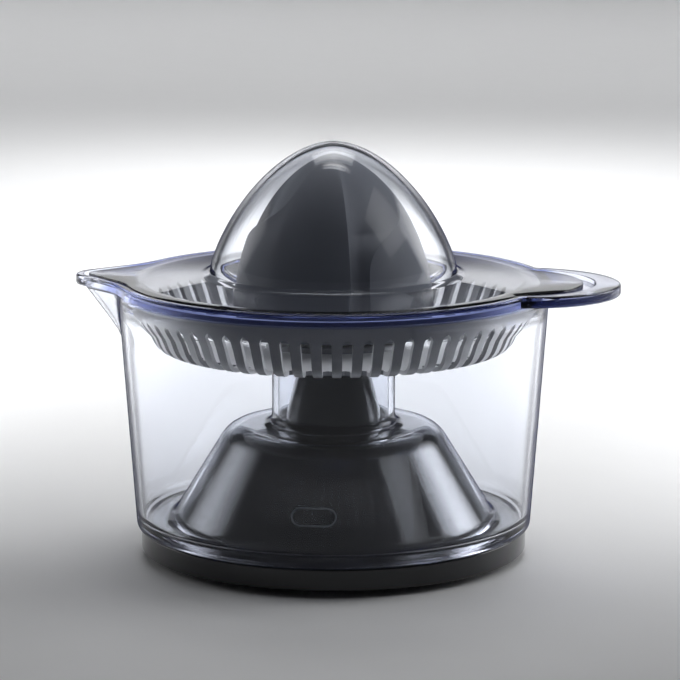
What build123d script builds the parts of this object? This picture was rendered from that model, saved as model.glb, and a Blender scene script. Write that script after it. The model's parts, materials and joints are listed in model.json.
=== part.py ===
from build123d import *
from math import acos, asin, atan2, cos, degrees, pi, radians, sin, sqrt, tan, tanh
import os

# All sizes in millimetres. The axis of the press is Z, the table is z = 0,
# the spout points to -X, the handle tab to +X and the front of the base to -Y.

# Fits and clearances
run_fit = 0.05          # radial play of turning and sliding fits
seat_gap = 0.02         # play left under a part that only stands on another
loose_gap = 0.4         # radial play of the lift-out parts
drive_play = 0.08       # play of each square flat in its socket
cut_over = 1.0          # how far a cutting body runs past the face it opens
bite = 0.5              # how far a post reaches into the part it grows from

# Motor base
foot_height = 2.0
foot_radius = 6.0
foot_peg_radius = 2.5
foot_inset = 15.0
foot_count = 4
foot_angle = 45.0
foot_chamfer = 0.6
foot_show = 0.6         # gap left between the plinth and the underside of its plate
plinth_ledge = 12.1      # ledge round the foot of the cone that carries the jug
plinth_top = 10.6
base_wall = 2.5
drive_room = 2.36      # room between the rim of the idler gear and the inside of the cone
cone_half_angle = 31.7
cone_height = 34.7
base_shoulder_round = 5.0
neck_foot_radius = 18.8
neck_straight = 11.0
neck_radius = 12.0
neck_draft = 0.4
neck_foot_round = 1.5
neck_waist_round = 8.0
neck_height = 35.7
badge_length = 15.5
badge_height = 6.5
badge_depth = 0.35
badge_rise = 13.4
edge_round = 0.8

# Jug
jug_wall = 2.2
jug_floor = 3.3
jug_overhang = 1.6
jug_flare = 6.6
rim_rise = 20.0
jug_foot_round = 2.0
jug_floor_round = 4.0
jug_cone_round = 3.0
jug_cone_wall = 2.2
rim_outer_round = 0.7
rim_inner_round = 0.5
jug_nest_gap = 0.9
jug_shoulder_wall = 2.0
jug_shoulder_round = 7.0
chimney_gap = 1.5
chimney_wall = 2.0
chimney_step = 1.4
chimney_root_round = 4.0
lid_seat_depth = 1.8
rim_wall = 2.6
lid_ledge = 1.0
strainer_seat_drop = 4.5
ledge_width = 1.4
ledge_height = 1.3
ledge_blend = 4.0
spout_length = 16.4
spout_round = 10.0
spout_half_angle = 20.0
spout_drop = 24.0
spout_bite = 1.0
keel_bite = 1.5
keel_stub = 0.4
keel_half_angle = 3.0
keel_round = 1.0
keel_wall = 2.0
tab_length = 25.3
tab_radius = 33.0
tab_thickness = 3.8
tab_border = 9.0

# Strainer
strainer_wall = 1.6
strainer_flange = 1.6
strainer_ledge = 2.4
strainer_draft = 8.2
strainer_depth = 20.5
strainer_round = 5.0
slot_count = 60
slot_width = 3.4
slot_top_drop = 8.4
slot_floor_reach = 8.5
hub_wall = 1.6
hub_rise = 2.3
hub_hole_radius = 10.5
hub_foot_round = 2.0
hub_top_round = 1.4
flange_edge_round = 0.5

# Reamer
reamer_radius = 36.6
reamer_lift = 5.5
reamer_height = 59.5
reamer_power = 2.1
reamer_root = 0.63
reamer_wall = 3.4
reamer_cap = 10.9
wing_count = 3
wing_edge_angle = 108.0
wing_width = 50.0
petal_rise = 35.5
petal_blend = 7.0
petal_foot_angle = 11.0
flute_depth = 5.6
flute_runout = 26.0
flute_end = 1.5
flute_run_power = 0.8
flute_slope = 0.32       # greatest depth for its own width, so a narrow foot stays shallow
flute_deepest = 0.42     # where the scoop is deepest, across its width
flute_lip = 0.3
flute_over = 5.0
socket_radius = 7.5
socket_rise = 7.0
web_thickness = 2.0

# Lid
lid_wall = 1.8
dome_gap = 8.2
dome_rise = 2.6
tip_gap = 2.8
dome_power = 1.35
dome_root = 0.55
brim_flat_width = 6.1
brim_step = 1.0
brim_step_height = 0.1
brim_root_width = 2.6
brim_root_drop = 0.6
brim_root_round = 1.2
dome_overlap = 1.4
lid_tongue_inset = 13.5
lid_tongue_radius = 29.0
flap_inset = 4.6
flap_angle_inset = 3.5
flap_round = 6.0

# Drive train
output_teeth = 72
idler_pinion_teeth = 12
output_module = 0.55
idler_teeth = 72
motor_pinion_teeth = 12
idler_module = 0.40
pressure_angle = 20.0
backlash = 0.12
motor_radius_from_axis = 26.0
motor_direction = 70.0
gear_plate_rise = 16.4
gear_plate_thickness = 3.0
gear_plate_gap = 1.0
idler_wheel_height = 3.4
output_gear_height = 4.5
gear_step = 1.0
output_hub_radius = 7.2
output_hub_rise = 2.5
output_hole_count = 6
output_hole_radius = 3.6
output_hole_circle = 13.2
idler_hole_count = 5
idler_hole_radius = 2.6
idler_hole_circle = 8.6
idler_boss_radius = 3.0
idler_boss_gap = 0.3
pinion_over = 0.6
motor_pinion_over = 0.2
axle_over = 0.8
journal_boss_wall = 3.0
output_journal_radius = 6.8
journal_length = 4.0
spindle_flat = 6.4
spindle_radius = 4.5
drive_length = 21.5
spindle_tail = 3.2
collar_radius = 6.6
collar_height = 2.4
collar_drop = 21.0
bush_radius = 8.4
bush_length = 11.0
seal_height = 2.4
seal_lip_width = 1.6
seal_lip_height = 0.4
seal_lip_depth = 0.6
bush_stop = 1.2
press_travel = 2.5
ring_thickness = 0.9
ring_radius = 6.0
ring_groove_depth = 0.9
ring_mouth = 5.4
spring_wire = 1.1
spring_radius = 5.6
spring_turns = 6
idler_axle_radius = 1.5

# Motor
stack_clearance = 4.9
stack_height = 9.6
rotor_radius = 9.0
air_gap = 0.6
rotor_shaft_radius = 1.5
core_leg_width = 7.0
core_leg_gap = 10.0
core_pole_half_width = 13.0
core_tail = 37.0
core_nose = 14.0
core_pole_length = 11.5
bobbin_wall = 0.8
bobbin_flange = 3.6
winding_build = 2.6
bobbin_length = 16.0
bobbin_start = 28.5
motor_bracket_thickness = 2.4
motor_bush_radius = 3.0
motor_bush_boss = 2.2
bracket_step = 0.8
bracket_arm_width = 4.0
rotor_end_gap = 0.2
winding_round = 1.2
core_screw_inset_x = 3.0
core_screw_inset_y = 3.6

# Fasteners and small parts
screw_radius = 1.5
screw_head_radius = 2.8
screw_head_height = 1.6
screw_slot_width = 0.7
screw_slot_depth = 0.7
screw_grip = 8.0
screw_hole_spare = 1.0
head_gap = 0.4
plate_screw_circle = 31.0
plate_screw_angles = (120.0, 210.0, 300.0)
bottom_screw_inset = 9.0
bottom_screw_angles = (30.0, 150.0, 270.0)
post_radius = 3.6
motor_post_radius = 2.8
bottom_plate_thickness = 2.5
plate_gap = 0.3
vent_count = 12
vent_circle = 30.0
vent_length = 14.0
vent_width = 2.4
window_circle = 26.0
window_length = 14.0
window_width = 7.0
window_angles = (155.0, 250.0)
gland_radius = 2.5
gland_flange_radius = 3.3
gland_flange = 1.2
gland_wall = 1.0
switch_length = 19.8
switch_width = 6.4
switch_height = 10.0
switch_front = 2.9       # how far the switch case runs on past the pivot of its lever
switch_drop = 4.2
switch_hanger = 3.0
switch_hanger_length = 10.0
switch_chamfer = 0.6
pivot_rise = 1.6
ear_thickness = 1.0
ear_length = 3.2
ear_over = 1.4
terminal_drop = 2.4
switch_tab_count = 3
switch_tab_pitch = 6.5
switch_tab_start = 3.4
switch_tab_width = 3.2
switch_tab_thickness = 0.5
lever_length = 28.0
lever_thickness = 0.8
lever_width = 4.5
lever_blade_width = 3.3
lever_pin_radius = 0.8
lever_eye_wall = 0.7
lever_eye_gap = 1.3
lever_pad_length = 5.6
lever_pad_end = 2.6
lever_gap = 0.3
plunger_radius = 1.0
plunger_arm = 7.0
plunger_bore_depth = 4.0
plunger_depth = 2.6
terminal_length = 22.0
terminal_width = 10.0
terminal_height = 9.0
terminal_ways = 2
terminal_inset = 32.0
terminal_y = -22.0
terminal_turn = -60.0
terminal_screw_radius = 2.0
terminal_wire_radius = 1.5
terminal_wire_level = 3.6
terminal_screw_floor = 2.5

# Levels that follow from the sizes above
cone_slope = tan(radians(cone_half_angle))
wall_lift = base_wall / cos(radians(cone_half_angle))
gear_plate_bottom = plinth_top + gear_plate_rise
gear_plate_top = gear_plate_bottom + gear_plate_thickness
idler_wheel_bottom = gear_plate_top + gear_step
idler_wheel_top = idler_wheel_bottom + idler_wheel_height
idler_centre_distance = (output_teeth + idler_pinion_teeth) * output_module / 2
idler_tip_radius = (idler_teeth + 2) * idler_module / 2
cone_inside_radius = idler_centre_distance + idler_tip_radius + drive_room
cone_foot_radius = cone_inside_radius + wall_lift + (idler_wheel_top - plinth_top) * cone_slope
plinth_radius = cone_foot_radius + plinth_ledge
foot_circle = plinth_radius - foot_inset
bottom_screw_circle = plinth_radius - bottom_screw_inset
terminal_x = terminal_inset - plinth_radius
switch_offset = lever_length + switch_front - switch_length / 2
base_top = plinth_top + cone_height
neck_top = base_top + neck_height
neck_taper_top = neck_top - neck_straight
badge_level = plinth_top + badge_rise
rim_top = neck_top + rim_rise
jug_foot_radius = plinth_radius + jug_overhang
jug_rim_radius = jug_foot_radius + jug_flare
lid_seat_radius = jug_rim_radius - rim_wall
strainer_seat_radius = lid_seat_radius - lid_ledge
strainer_top_radius = strainer_seat_radius - strainer_ledge
strainer_floor_radius = strainer_top_radius - strainer_draft
chimney_radius = neck_foot_radius + chimney_gap + chimney_wall
chimney_top = neck_top - chimney_step
spout_reach = jug_rim_radius + spout_length
tab_reach = jug_rim_radius + tab_length
reamer_bottom = neck_top + reamer_lift
reamer_apex = reamer_bottom + reamer_height
petal_middle = reamer_bottom + petal_rise
socket_bottom = reamer_bottom + socket_rise
spindle_top = reamer_bottom + drive_length
collar_level = neck_top - collar_drop
dome_radius = reamer_radius + dome_gap
dome_foot = rim_top + dome_rise
dome_height = reamer_apex + tip_gap + lid_wall - dome_foot
brim_flat_radius = lid_seat_radius - brim_flat_width
lid_tongue_reach = tab_reach - lid_tongue_inset
lid_flap_reach = spout_reach - flap_inset
jug_bottom = plinth_top + seat_gap
jug_floor_top = jug_bottom + jug_floor
jug_shoulder = base_top + jug_nest_gap + jug_shoulder_wall
lid_seat = rim_top - lid_seat_depth
strainer_seat = rim_top - strainer_seat_drop
strainer_floor = strainer_seat + seat_gap - strainer_depth
chimney_fit = chimney_radius + loose_gap
output_gear_bottom = idler_wheel_top + gear_step
output_gear_top = output_gear_bottom + output_gear_height
journal_bottom = gear_plate_top - journal_length
ring_top = journal_bottom - seat_gap
spindle_bottom = ring_top - ring_thickness - spindle_tail
base_inside_top = base_top - base_wall
bottom_plate_top = foot_height + bottom_plate_thickness
ledge_under = plinth_top - base_wall
gland_level = (bottom_plate_top + ledge_under) / 2
stack_bottom = bottom_plate_top + stack_clearance
bush_bottom = neck_top - seal_height - bush_length
motor_centre_distance = (idler_teeth + motor_pinion_teeth) * idler_module / 2
stack_top = stack_bottom + stack_height


def polar(radius, angle):
    return (radius * cos(radians(angle)), radius * sin(radians(angle)))


motor_x, motor_y = polar(motor_radius_from_axis, motor_direction)
idler_turn = degrees(acos(
    (motor_radius_from_axis ** 2 + idler_centre_distance ** 2 - motor_centre_distance ** 2)
    / (2 * motor_radius_from_axis * idler_centre_distance)))
idler_direction = motor_direction - idler_turn
idler_x, idler_y = polar(idler_centre_distance, idler_direction)


def cone_radius(z):
    """Outside radius of the motor base cone at height z."""
    return cone_foot_radius - (z - plinth_top) * cone_slope


gear_plate_radius = cone_radius(gear_plate_top) - wall_lift - gear_plate_gap


def jug_outside(z):
    """Outside radius of the jug wall at height z."""
    share = (z - jug_bottom) / (rim_top - jug_bottom)
    return jug_foot_radius + share * (jug_rim_radius - jug_foot_radius)


def profile(*corners):
    """Closed half section from (radius, height[, corner round]) corners."""
    face = make_face(Polyline(*[(c[0], c[1]) for c in corners], close=True))
    for c in corners:
        if len(c) == 3:
            corner = face.vertices().sort_by_distance((c[0], c[1], 0))[0]
            face = fillet(corner, c[2])
    return face


def turned(*corners):
    """Body of revolution about Z from a closed half section."""
    return revolve(Plane.XZ * profile(*corners), axis=Axis.Z)


def rod(radius, bottom, top, x=0.0, y=0.0):
    """Upright cylinder between two heights."""
    return Pos(x, y, bottom) * extrude(Circle(radius), amount=top - bottom)


def tube(outer, inner, bottom, top, x=0.0, y=0.0):
    """Upright ring between two heights."""
    return Pos(x, y, bottom) * extrude(Circle(outer) - Circle(inner), amount=top - bottom)


def block(x0, x1, y0, y1, z0, z1):
    """Rectangular block between limits."""
    return Pos((x0 + x1) / 2, (y0 + y1) / 2, (z0 + z1) / 2) * Box(x1 - x0, y1 - y0, z1 - z0)


def square_bar(flat, bottom, top):
    """Square drive bar on the axis."""
    return Pos(0, 0, bottom) * extrude(Rectangle(flat, flat), amount=top - bottom)


def curve_points(radius_at, bottom, top, steps=10):
    """Points on a rounded outline, closer together toward its tip."""
    points = []
    for k in range(steps + 1):
        z = bottom + (top - bottom) * (1 - (1 - k / steps) ** 1.6)
        points.append((radius_at(z), z))
    return points


def curve_line(points):
    """Outline that leaves its foot upright and meets the axis square."""
    return Spline(*points, tangents=[(0, 1), (-1, 0)], tangent_scalars=[0.6, 0.6])


def curve_body(radius_at, bottom, top):
    """Solid of revolution under a formula for its outside radius, closed on the axis."""
    points = curve_points(radius_at, bottom, top)
    floor = Line((0, bottom), points[0])
    axis = Line(points[-1], (0, bottom))
    return revolve(Plane.XZ * make_face([floor, curve_line(points), axis]), axis=Axis.Z)


def spur_gear(module, teeth, height, tooth_at):
    """Involute spur gear from z = 0 with one tooth centred on the direction tooth_at."""
    pitch = module * teeth / 2
    tip = pitch + 0.9 * module
    root = pitch - 1.15 * module
    base = pitch * cos(radians(pressure_angle))

    def involute(angle):
        return tan(angle) - angle

    half_pitch = pi / (2 * teeth) - backlash / (2 * pitch)

    def half_angle(radius):
        reach = max(radius, base)
        return half_pitch + involute(radians(pressure_angle)) - involute(acos(base / reach))

    flank = [root, max(base, root * 1.01), pitch, tip]
    points = []
    for k in range(teeth):
        middle = radians(tooth_at) + 2 * pi * k / teeth
        for radius in flank:
            points.append((radius * cos(middle - half_angle(radius)),
                           radius * sin(middle - half_angle(radius))))
        for radius in reversed(flank):
            points.append((radius * cos(middle + half_angle(radius)),
                           radius * sin(middle + half_angle(radius))))
    return extrude(make_face(Polyline(*points, close=True)), amount=height)


def spout_wedge(reach, spread, root_radius, round_radius):
    """Plan of the spout: a wedge from the jug wall to a rounded tip."""
    root_x = root_radius * cos(radians(spread))
    root_y = root_radius * sin(radians(spread))
    lean = atan2(root_y, reach - root_x)
    for step in range(6):
        point = reach + round_radius * (1 / sin(lean) - 1)
        lean = atan2(root_y, point - root_x)
    inside = root_x * 0.6
    face = make_face(Polyline((-inside, root_y), (-root_x, root_y), (-point, 0),
                              (-root_x, -root_y), (-inside, -root_y), close=True))
    tip = face.vertices().sort_by_distance((-point, 0, 0))[0]
    return fillet(tip, round_radius)


def spout_body(inset, top, floor_lift):
    """Spout mass down to its keel, drawn in by inset for the inside."""
    high = spout_wedge(spout_reach - inset, spout_half_angle - degrees(inset / jug_rim_radius),
                       jug_rim_radius - spout_bite, spout_round - inset)
    low_level = rim_top - spout_drop + floor_lift
    low_root = jug_outside(low_level) - keel_bite
    low = spout_wedge(low_root + keel_stub, keel_half_angle, low_root - spout_bite, keel_round)
    return loft([Pos(0, 0, low_level) * low, Pos(0, 0, top) * high], ruled=True)


def seat_corners():
    """Corners of the two seats inside the rim, from the wall under them up to the lid seat."""
    ledge_radius = strainer_seat_radius - ledge_width
    blend_level = strainer_seat - ledge_blend
    return [
        (jug_outside(blend_level) - jug_wall, blend_level),
        (ledge_radius, strainer_seat - ledge_height),
        (ledge_radius, strainer_seat),
        (strainer_seat_radius, strainer_seat),
        (strainer_seat_radius, lid_seat),
        (lid_seat_radius, lid_seat),
    ]


def make_jug():
    cone_out = jug_nest_gap + jug_cone_wall
    shoulder_under = jug_shoulder - jug_shoulder_wall
    body = turned(
        (cone_radius(jug_bottom) + jug_nest_gap, jug_bottom),
        (jug_foot_radius, jug_bottom, jug_foot_round),
        (jug_rim_radius, rim_top, rim_outer_round),
        (lid_seat_radius, rim_top, rim_inner_round),
        *reversed(seat_corners()),
        (jug_outside(jug_floor_top) - jug_wall, jug_floor_top, jug_floor_round),
        (cone_radius(jug_floor_top) + cone_out, jug_floor_top, jug_cone_round),
        (cone_radius(jug_shoulder) + cone_out, jug_shoulder, jug_shoulder_round),
        (chimney_radius, jug_shoulder, chimney_root_round),
        (chimney_radius, chimney_top, edge_round),
        (chimney_radius - chimney_wall, chimney_top, edge_round),
        (chimney_radius - chimney_wall, shoulder_under, jug_shoulder_wall),
        (cone_radius(shoulder_under) + jug_nest_gap, shoulder_under, base_shoulder_round + jug_nest_gap),
    )
    inside_floor = strainer_seat - ledge_blend - spout_drop
    inside = turned(
        (0, inside_floor),
        (jug_outside(inside_floor) - jug_wall, inside_floor),
        *seat_corners(),
        (lid_seat_radius, rim_top + cut_over),
        (0, rim_top + cut_over),
    )
    channel = spout_body(jug_wall, rim_top + cut_over / 2, keel_wall)
    spout = spout_body(0, rim_top, 0) - inside - channel
    tab_centre = tab_reach - tab_radius
    tab = rod(tab_radius, rim_top - tab_thickness, rim_top, tab_centre)
    tab = fillet(tab.edges().filter_by(GeomType.CIRCLE), edge_round)
    pocket = rod(tab_radius - tab_border / 2, lid_seat, rim_top + cut_over, tab_centre - tab_border / 2)
    pocket -= rod(strainer_seat_radius + lid_ledge / 2, 0, rim_top + 2 * cut_over)
    return (body - channel - pocket) + spout + (tab - inside - pocket)


def make_lid():
    bottom = lid_seat + seat_gap
    brim = turned(
        (dome_radius - lid_wall, dome_foot - lid_wall),
        (brim_flat_radius - brim_step, bottom),
        (lid_seat_radius - loose_gap, bottom),
        (lid_seat_radius - loose_gap, rim_top),
        (brim_flat_radius, rim_top + brim_step_height),
        (dome_radius + brim_root_width, dome_foot - brim_root_drop, brim_root_round),
        (dome_radius, dome_foot + dome_overlap),
        (dome_radius - lid_wall / 2, dome_foot + dome_overlap),
        (dome_radius - lid_wall / 2, dome_foot),
        (dome_radius - lid_wall, dome_foot),
    )

    def dome_at(radius, height):
        return lambda z: radius * (1 - min((z - dome_foot) / height, 1) ** dome_power) ** dome_root

    outer = curve_points(dome_at(dome_radius, dome_height), dome_foot, dome_foot + dome_height)
    inner = curve_points(dome_at(dome_radius - lid_wall, dome_height - lid_wall),
                         dome_foot, dome_foot + dome_height - lid_wall)
    section = make_face([curve_line(outer), Line(outer[-1], inner[-1]),
                         curve_line(inner), Line(inner[0], outer[0])])
    lid = brim + revolve(Plane.XZ * section, axis=Axis.Z)
    core = rod(brim_flat_radius, bottom - cut_over, rim_top + cut_over)
    tongue = rod(lid_tongue_radius, bottom, rim_top, lid_tongue_reach - lid_tongue_radius)
    flap_plan = spout_wedge(lid_flap_reach, spout_half_angle - flap_angle_inset, lid_seat_radius, flap_round)
    spout_flap = Pos(0, 0, bottom) * extrude(flap_plan, amount=rim_top - bottom)
    return lid + (tongue - core) + (spout_flap - core)


def make_strainer():
    seat = strainer_seat + seat_gap
    floor_top = strainer_floor + strainer_wall
    hub_top = chimney_top + hub_rise + hub_wall
    body = turned(
        (chimney_fit, strainer_floor),
        (strainer_floor_radius, strainer_floor, strainer_round),
        (strainer_top_radius, seat),
        (strainer_seat_radius - loose_gap, seat),
        (strainer_seat_radius - loose_gap, seat + strainer_flange, flange_edge_round),
        (strainer_top_radius - strainer_wall, seat + strainer_flange, edge_round),
        (strainer_floor_radius - strainer_wall, floor_top, strainer_round - strainer_wall),
        (chimney_fit + hub_wall, floor_top, hub_foot_round),
        (chimney_fit + hub_wall, hub_top, hub_top_round),
        (hub_hole_radius, hub_top),
        (hub_hole_radius, hub_top - hub_wall),
        (chimney_fit, hub_top - hub_wall),
    )
    inner_end = strainer_floor_radius - slot_floor_reach
    outer_end = strainer_top_radius + cut_over
    top_round = seat + strainer_flange - slot_top_drop
    slot_bottom = strainer_floor - cut_over
    slot_face = Pos(0, (top_round + slot_bottom) / 2) * Rectangle(slot_width, top_round - slot_bottom)
    slot_face += Pos(0, top_round) * Circle(slot_width / 2)
    slot = Pos(inner_end, 0, 0) * extrude(Plane.YZ * slot_face, amount=outer_end - inner_end)
    return body - [Rot(0, 0, (k + 0.5) * 360 / slot_count) * slot for k in range(slot_count)]


def reamer_outside(z):
    """Outside radius of the reamer's wings at height z."""
    share = min(max((z - reamer_bottom) / (reamer_apex - reamer_bottom), 0), 1)
    return reamer_radius * (1 - share ** reamer_power) ** reamer_root


def petal_angle(z):
    """Angle from the wing edge to the near edge of the petal at height z."""
    gap = 360 / wing_count - wing_width
    share = (z - petal_middle) / petal_blend
    return petal_foot_angle + (gap - petal_foot_angle) * (0.5 + 0.5 * tanh(share))


def flute(edge_angle):
    """Scoop between the sharp edge of one wing and the petal beside it, running out at the tip."""
    levels = 12
    bottom = reamer_bottom - cut_over
    top = reamer_apex - flute_end
    sections = []
    for k in range(levels + 1):
        z = bottom + (top - bottom) * k / levels
        radius = reamer_outside(z)
        face = radius + flute_lip
        spread = petal_angle(z)
        run = min((top - z) / flute_runout, 1) ** flute_run_power
        depth = min(flute_depth * run, flute_slope * radians(spread) * radius)
        start = polar(radius + flute_over, edge_angle)
        edge = polar(face, edge_angle)
        middle = polar(face - depth, edge_angle + flute_deepest * spread)
        end = polar(face, edge_angle + spread)
        out = polar(radius + flute_over, edge_angle + spread)
        edges = [Line(start, edge), ThreePointArc(edge, middle, end), Line(end, out), Line(out, start)]
        sections.append(Pos(0, 0, z) * make_face(edges))
    return loft(sections)


def make_reamer():
    body = curve_body(reamer_outside, reamer_bottom, reamer_apex)
    for k in range(wing_count):
        body -= flute(wing_edge_angle - 180 + 360 * k / wing_count)
    hollow_top = reamer_apex - reamer_cap

    def hollow_radius(z):
        if z >= hollow_top:
            return 0
        return reamer_outside(z + reamer_wall) - flute_depth - reamer_wall

    hollow = curve_body(hollow_radius, reamer_bottom - run_fit, hollow_top)
    webs = rod(socket_radius, socket_bottom, hollow_top)
    for k in range(wing_count):
        web = block(0, reamer_radius, -web_thickness / 2, web_thickness / 2, socket_bottom, hollow_top)
        webs += Rot(0, 0, wing_edge_angle + wing_width / 2 + 360 * k / wing_count) * web
    body = body - hollow + (webs & hollow)
    return body - square_bar(spindle_flat + 2 * drive_play, socket_bottom - cut_over, spindle_top)


def make_base_housing():
    plate_fit = plinth_radius - base_wall
    stop_radius = spindle_radius + bush_stop
    stop_under = bush_bottom - bush_stop
    body = turned(
        (plate_fit, foot_height + foot_show),
        (plinth_radius, foot_height + foot_show, edge_round),
        (plinth_radius, plinth_top, edge_round),
        (cone_foot_radius, plinth_top),
        (cone_radius(base_top), base_top, base_shoulder_round),
        (neck_foot_radius, base_top, neck_foot_round),
        (neck_radius + neck_draft, neck_taper_top, neck_waist_round),
        (neck_radius, neck_top, edge_round),
        (bush_radius, neck_top),
        (bush_radius, bush_bottom),
        (stop_radius, bush_bottom),
        (stop_radius, stop_under),
        (neck_radius - base_wall, stop_under),
        (neck_radius - base_wall, stop_under - base_wall),
        (neck_foot_radius - base_wall, base_inside_top),
        (cone_radius(base_inside_top) - wall_lift, base_inside_top, base_shoulder_round - base_wall),
        (cone_radius(ledge_under) - wall_lift, ledge_under),
        (plate_fit, ledge_under),
    )
    for angle in plate_screw_angles:
        x, y = polar(plate_screw_circle, angle)
        body += rod(post_radius, gear_plate_top, base_inside_top + bite, x, y)
        hole_top = gear_plate_top + screw_grip + screw_hole_spare
        body -= rod(screw_radius, gear_plate_top - cut_over, hole_top, x, y)
    for angle in bottom_screw_angles:
        x, y = polar(bottom_screw_circle, angle)
        body += rod(post_radius, bottom_plate_top, ledge_under + bite, x, y)
        body -= rod(screw_radius, bottom_plate_top - cut_over, ledge_under + screw_hole_spare, x, y)
    skin = turned(
        (cone_radius(plinth_top) + cut_over, plinth_top),
        (cone_radius(base_top) + cut_over, base_top),
        (cone_radius(base_top) - badge_depth, base_top),
        (cone_radius(plinth_top) - badge_depth, plinth_top),
    )
    stamp = Pos(0, -plinth_radius, badge_level) * Rot(90, 0, 0) * extrude(
        SlotOverall(badge_length, badge_height), amount=-plinth_radius)
    body -= skin & stamp
    gland_hole = Cylinder(gland_radius + seat_gap, 4 * base_wall)
    return body - Pos(0, plinth_radius, gland_level) * Rot(90, 0, 0) * gland_hole


def make_bottom_plate():
    plate = rod(plinth_radius - base_wall - plate_gap, foot_height, bottom_plate_top)
    for angle in bottom_screw_angles:
        x, y = polar(bottom_screw_circle, angle)
        plate -= rod(screw_radius + run_fit, 0, bottom_plate_top + cut_over, x, y)
        plate -= rod(screw_head_radius + head_gap, 0, foot_height + screw_head_height, x, y)
    for k in range(foot_count):
        x, y = polar(foot_circle, foot_angle + 360 * k / foot_count)
        plate -= rod(foot_peg_radius + seat_gap, 0, bottom_plate_top + cut_over, x, y)
    vent = extrude(SlotOverall(vent_length, vent_width), amount=bottom_plate_top + cut_over)
    for k in range(vent_count):
        plate -= Rot(0, 0, 360 * (k + 0.5) / vent_count) * Pos(vent_circle, 0, 0) * vent
    plate -= block(-gland_flange_radius, gland_flange_radius, plinth_radius - 2 * base_wall, plinth_radius,
                   0, bottom_plate_top + cut_over)
    return plate


def make_feet():
    feet = []
    for k in range(foot_count):
        x, y = polar(foot_circle, foot_angle + 360 * k / foot_count)
        pad = rod(foot_radius, 0, foot_height, x, y)
        pad = chamfer(pad.edges().group_by(Axis.Z)[0], foot_chamfer)
        feet.append(pad + rod(foot_peg_radius, foot_height, bottom_plate_top, x, y))
    return feet


def screw(length, x, y, seat):
    """Pan head screw standing upward from its head seat."""
    head = rod(screw_head_radius, seat - screw_head_height, seat, x, y)
    underside = seat - screw_head_height
    slot = Pos(x, y, underside) * Box(2 * screw_head_radius, screw_slot_width, 2 * screw_slot_depth)
    return head - slot + rod(screw_radius, seat, seat + length, x, y)


def make_bottom_screws():
    length = ledge_under + bite - foot_height - screw_head_height
    return [screw(length, *polar(bottom_screw_circle, a), foot_height + screw_head_height)
            for a in bottom_screw_angles]


def make_plate_screws():
    return [screw(gear_plate_thickness + screw_grip, *polar(plate_screw_circle, a), gear_plate_bottom)
            for a in plate_screw_angles]


def motor_screw_places():
    """Plan places of the two tail screws, then the two nose screws, of the motor."""
    half = (core_leg_gap + core_leg_width) / 2
    tail_x = motor_x - core_tail + core_leg_width / 2
    nose_x = motor_x + core_nose - core_screw_inset_x
    nose_half = core_pole_half_width - core_screw_inset_y
    return [(tail_x, motor_y - half), (tail_x, motor_y + half),
            (nose_x, motor_y - nose_half), (nose_x, motor_y + nose_half)]


def make_gear_plate():
    plate = rod(gear_plate_radius, gear_plate_bottom, gear_plate_top)
    plate -= rod(output_journal_radius + run_fit, 0, gear_plate_top + cut_over)
    plate += tube(output_journal_radius + journal_boss_wall, output_journal_radius + run_fit,
                  journal_bottom, gear_plate_top)
    for angle in plate_screw_angles:
        plate -= rod(screw_radius + run_fit, 0, gear_plate_top + cut_over, *polar(plate_screw_circle, angle))
    for x, y in motor_screw_places():
        plate += rod(motor_post_radius, stack_top, gear_plate_bottom + bite, x, y)
        hole_top = gear_plate_bottom + bite + screw_hole_spare
        plate -= rod(screw_radius + seat_gap, stack_top - cut_over, hole_top, x, y)
    plate -= rod(idler_axle_radius, gear_plate_bottom, gear_plate_top + cut_over, idler_x, idler_y)
    plate -= rod(motor_bush_radius, stack_top, gear_plate_top + cut_over, motor_x, motor_y)
    for angle in window_angles:
        window = extrude(SlotOverall(window_length, window_width), amount=gear_plate_top + cut_over)
        plate -= Pos(*polar(window_circle, angle), 0) * window
    hanger_y = -switch_offset - switch_length / 2
    plate += block(-switch_width / 2 - switch_hanger, -switch_width / 2,
                   hanger_y, hanger_y + switch_hanger_length, switch_top() - switch_height, gear_plate_bottom)
    return plate


def switch_top():
    """Top of the switch case, under the lever with room for its pivot."""
    return spindle_bottom - switch_drop


def lever_pivot():
    """Place of the lever pivot along Y and Z."""
    return (-lever_length, switch_top() + pivot_rise)


def make_stator_core():
    half_gap = core_leg_gap / 2
    outer = half_gap + core_leg_width
    plan = Pos(-core_tail / 2, 0) * Rectangle(core_tail, 2 * outer)
    plan += Pos((core_nose - core_pole_length) / 2, 0) * Rectangle(core_nose + core_pole_length,
                                                                   2 * core_pole_half_width)
    slot_length = core_tail - core_leg_width
    slot_end = core_nose + cut_over
    plan -= Pos((slot_end - slot_length) / 2, 0) * Rectangle(slot_length + slot_end, core_leg_gap)
    plan -= Circle(rotor_radius + air_gap)
    core = Pos(motor_x, motor_y, stack_bottom) * extrude(plan, amount=stack_height)
    for x, y in motor_screw_places():
        core -= rod(screw_radius + run_fit, 0, stack_top + cut_over, x, y)
    return core


def leg_sleeve(inner_play, wall, x0, x1, side):
    """Rectangular sleeve round one core leg."""
    y = motor_y + side * (core_leg_gap + core_leg_width) / 2
    half_y = core_leg_width / 2 + inner_play
    half_z = stack_height / 2 + inner_play
    z = stack_bottom + stack_height / 2
    outer = block(x0, x1, y - half_y - wall, y + half_y + wall, z - half_z - wall, z + half_z + wall)
    return outer - block(x0 - cut_over, x1 + cut_over, y - half_y, y + half_y, z - half_z, z + half_z)


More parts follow.
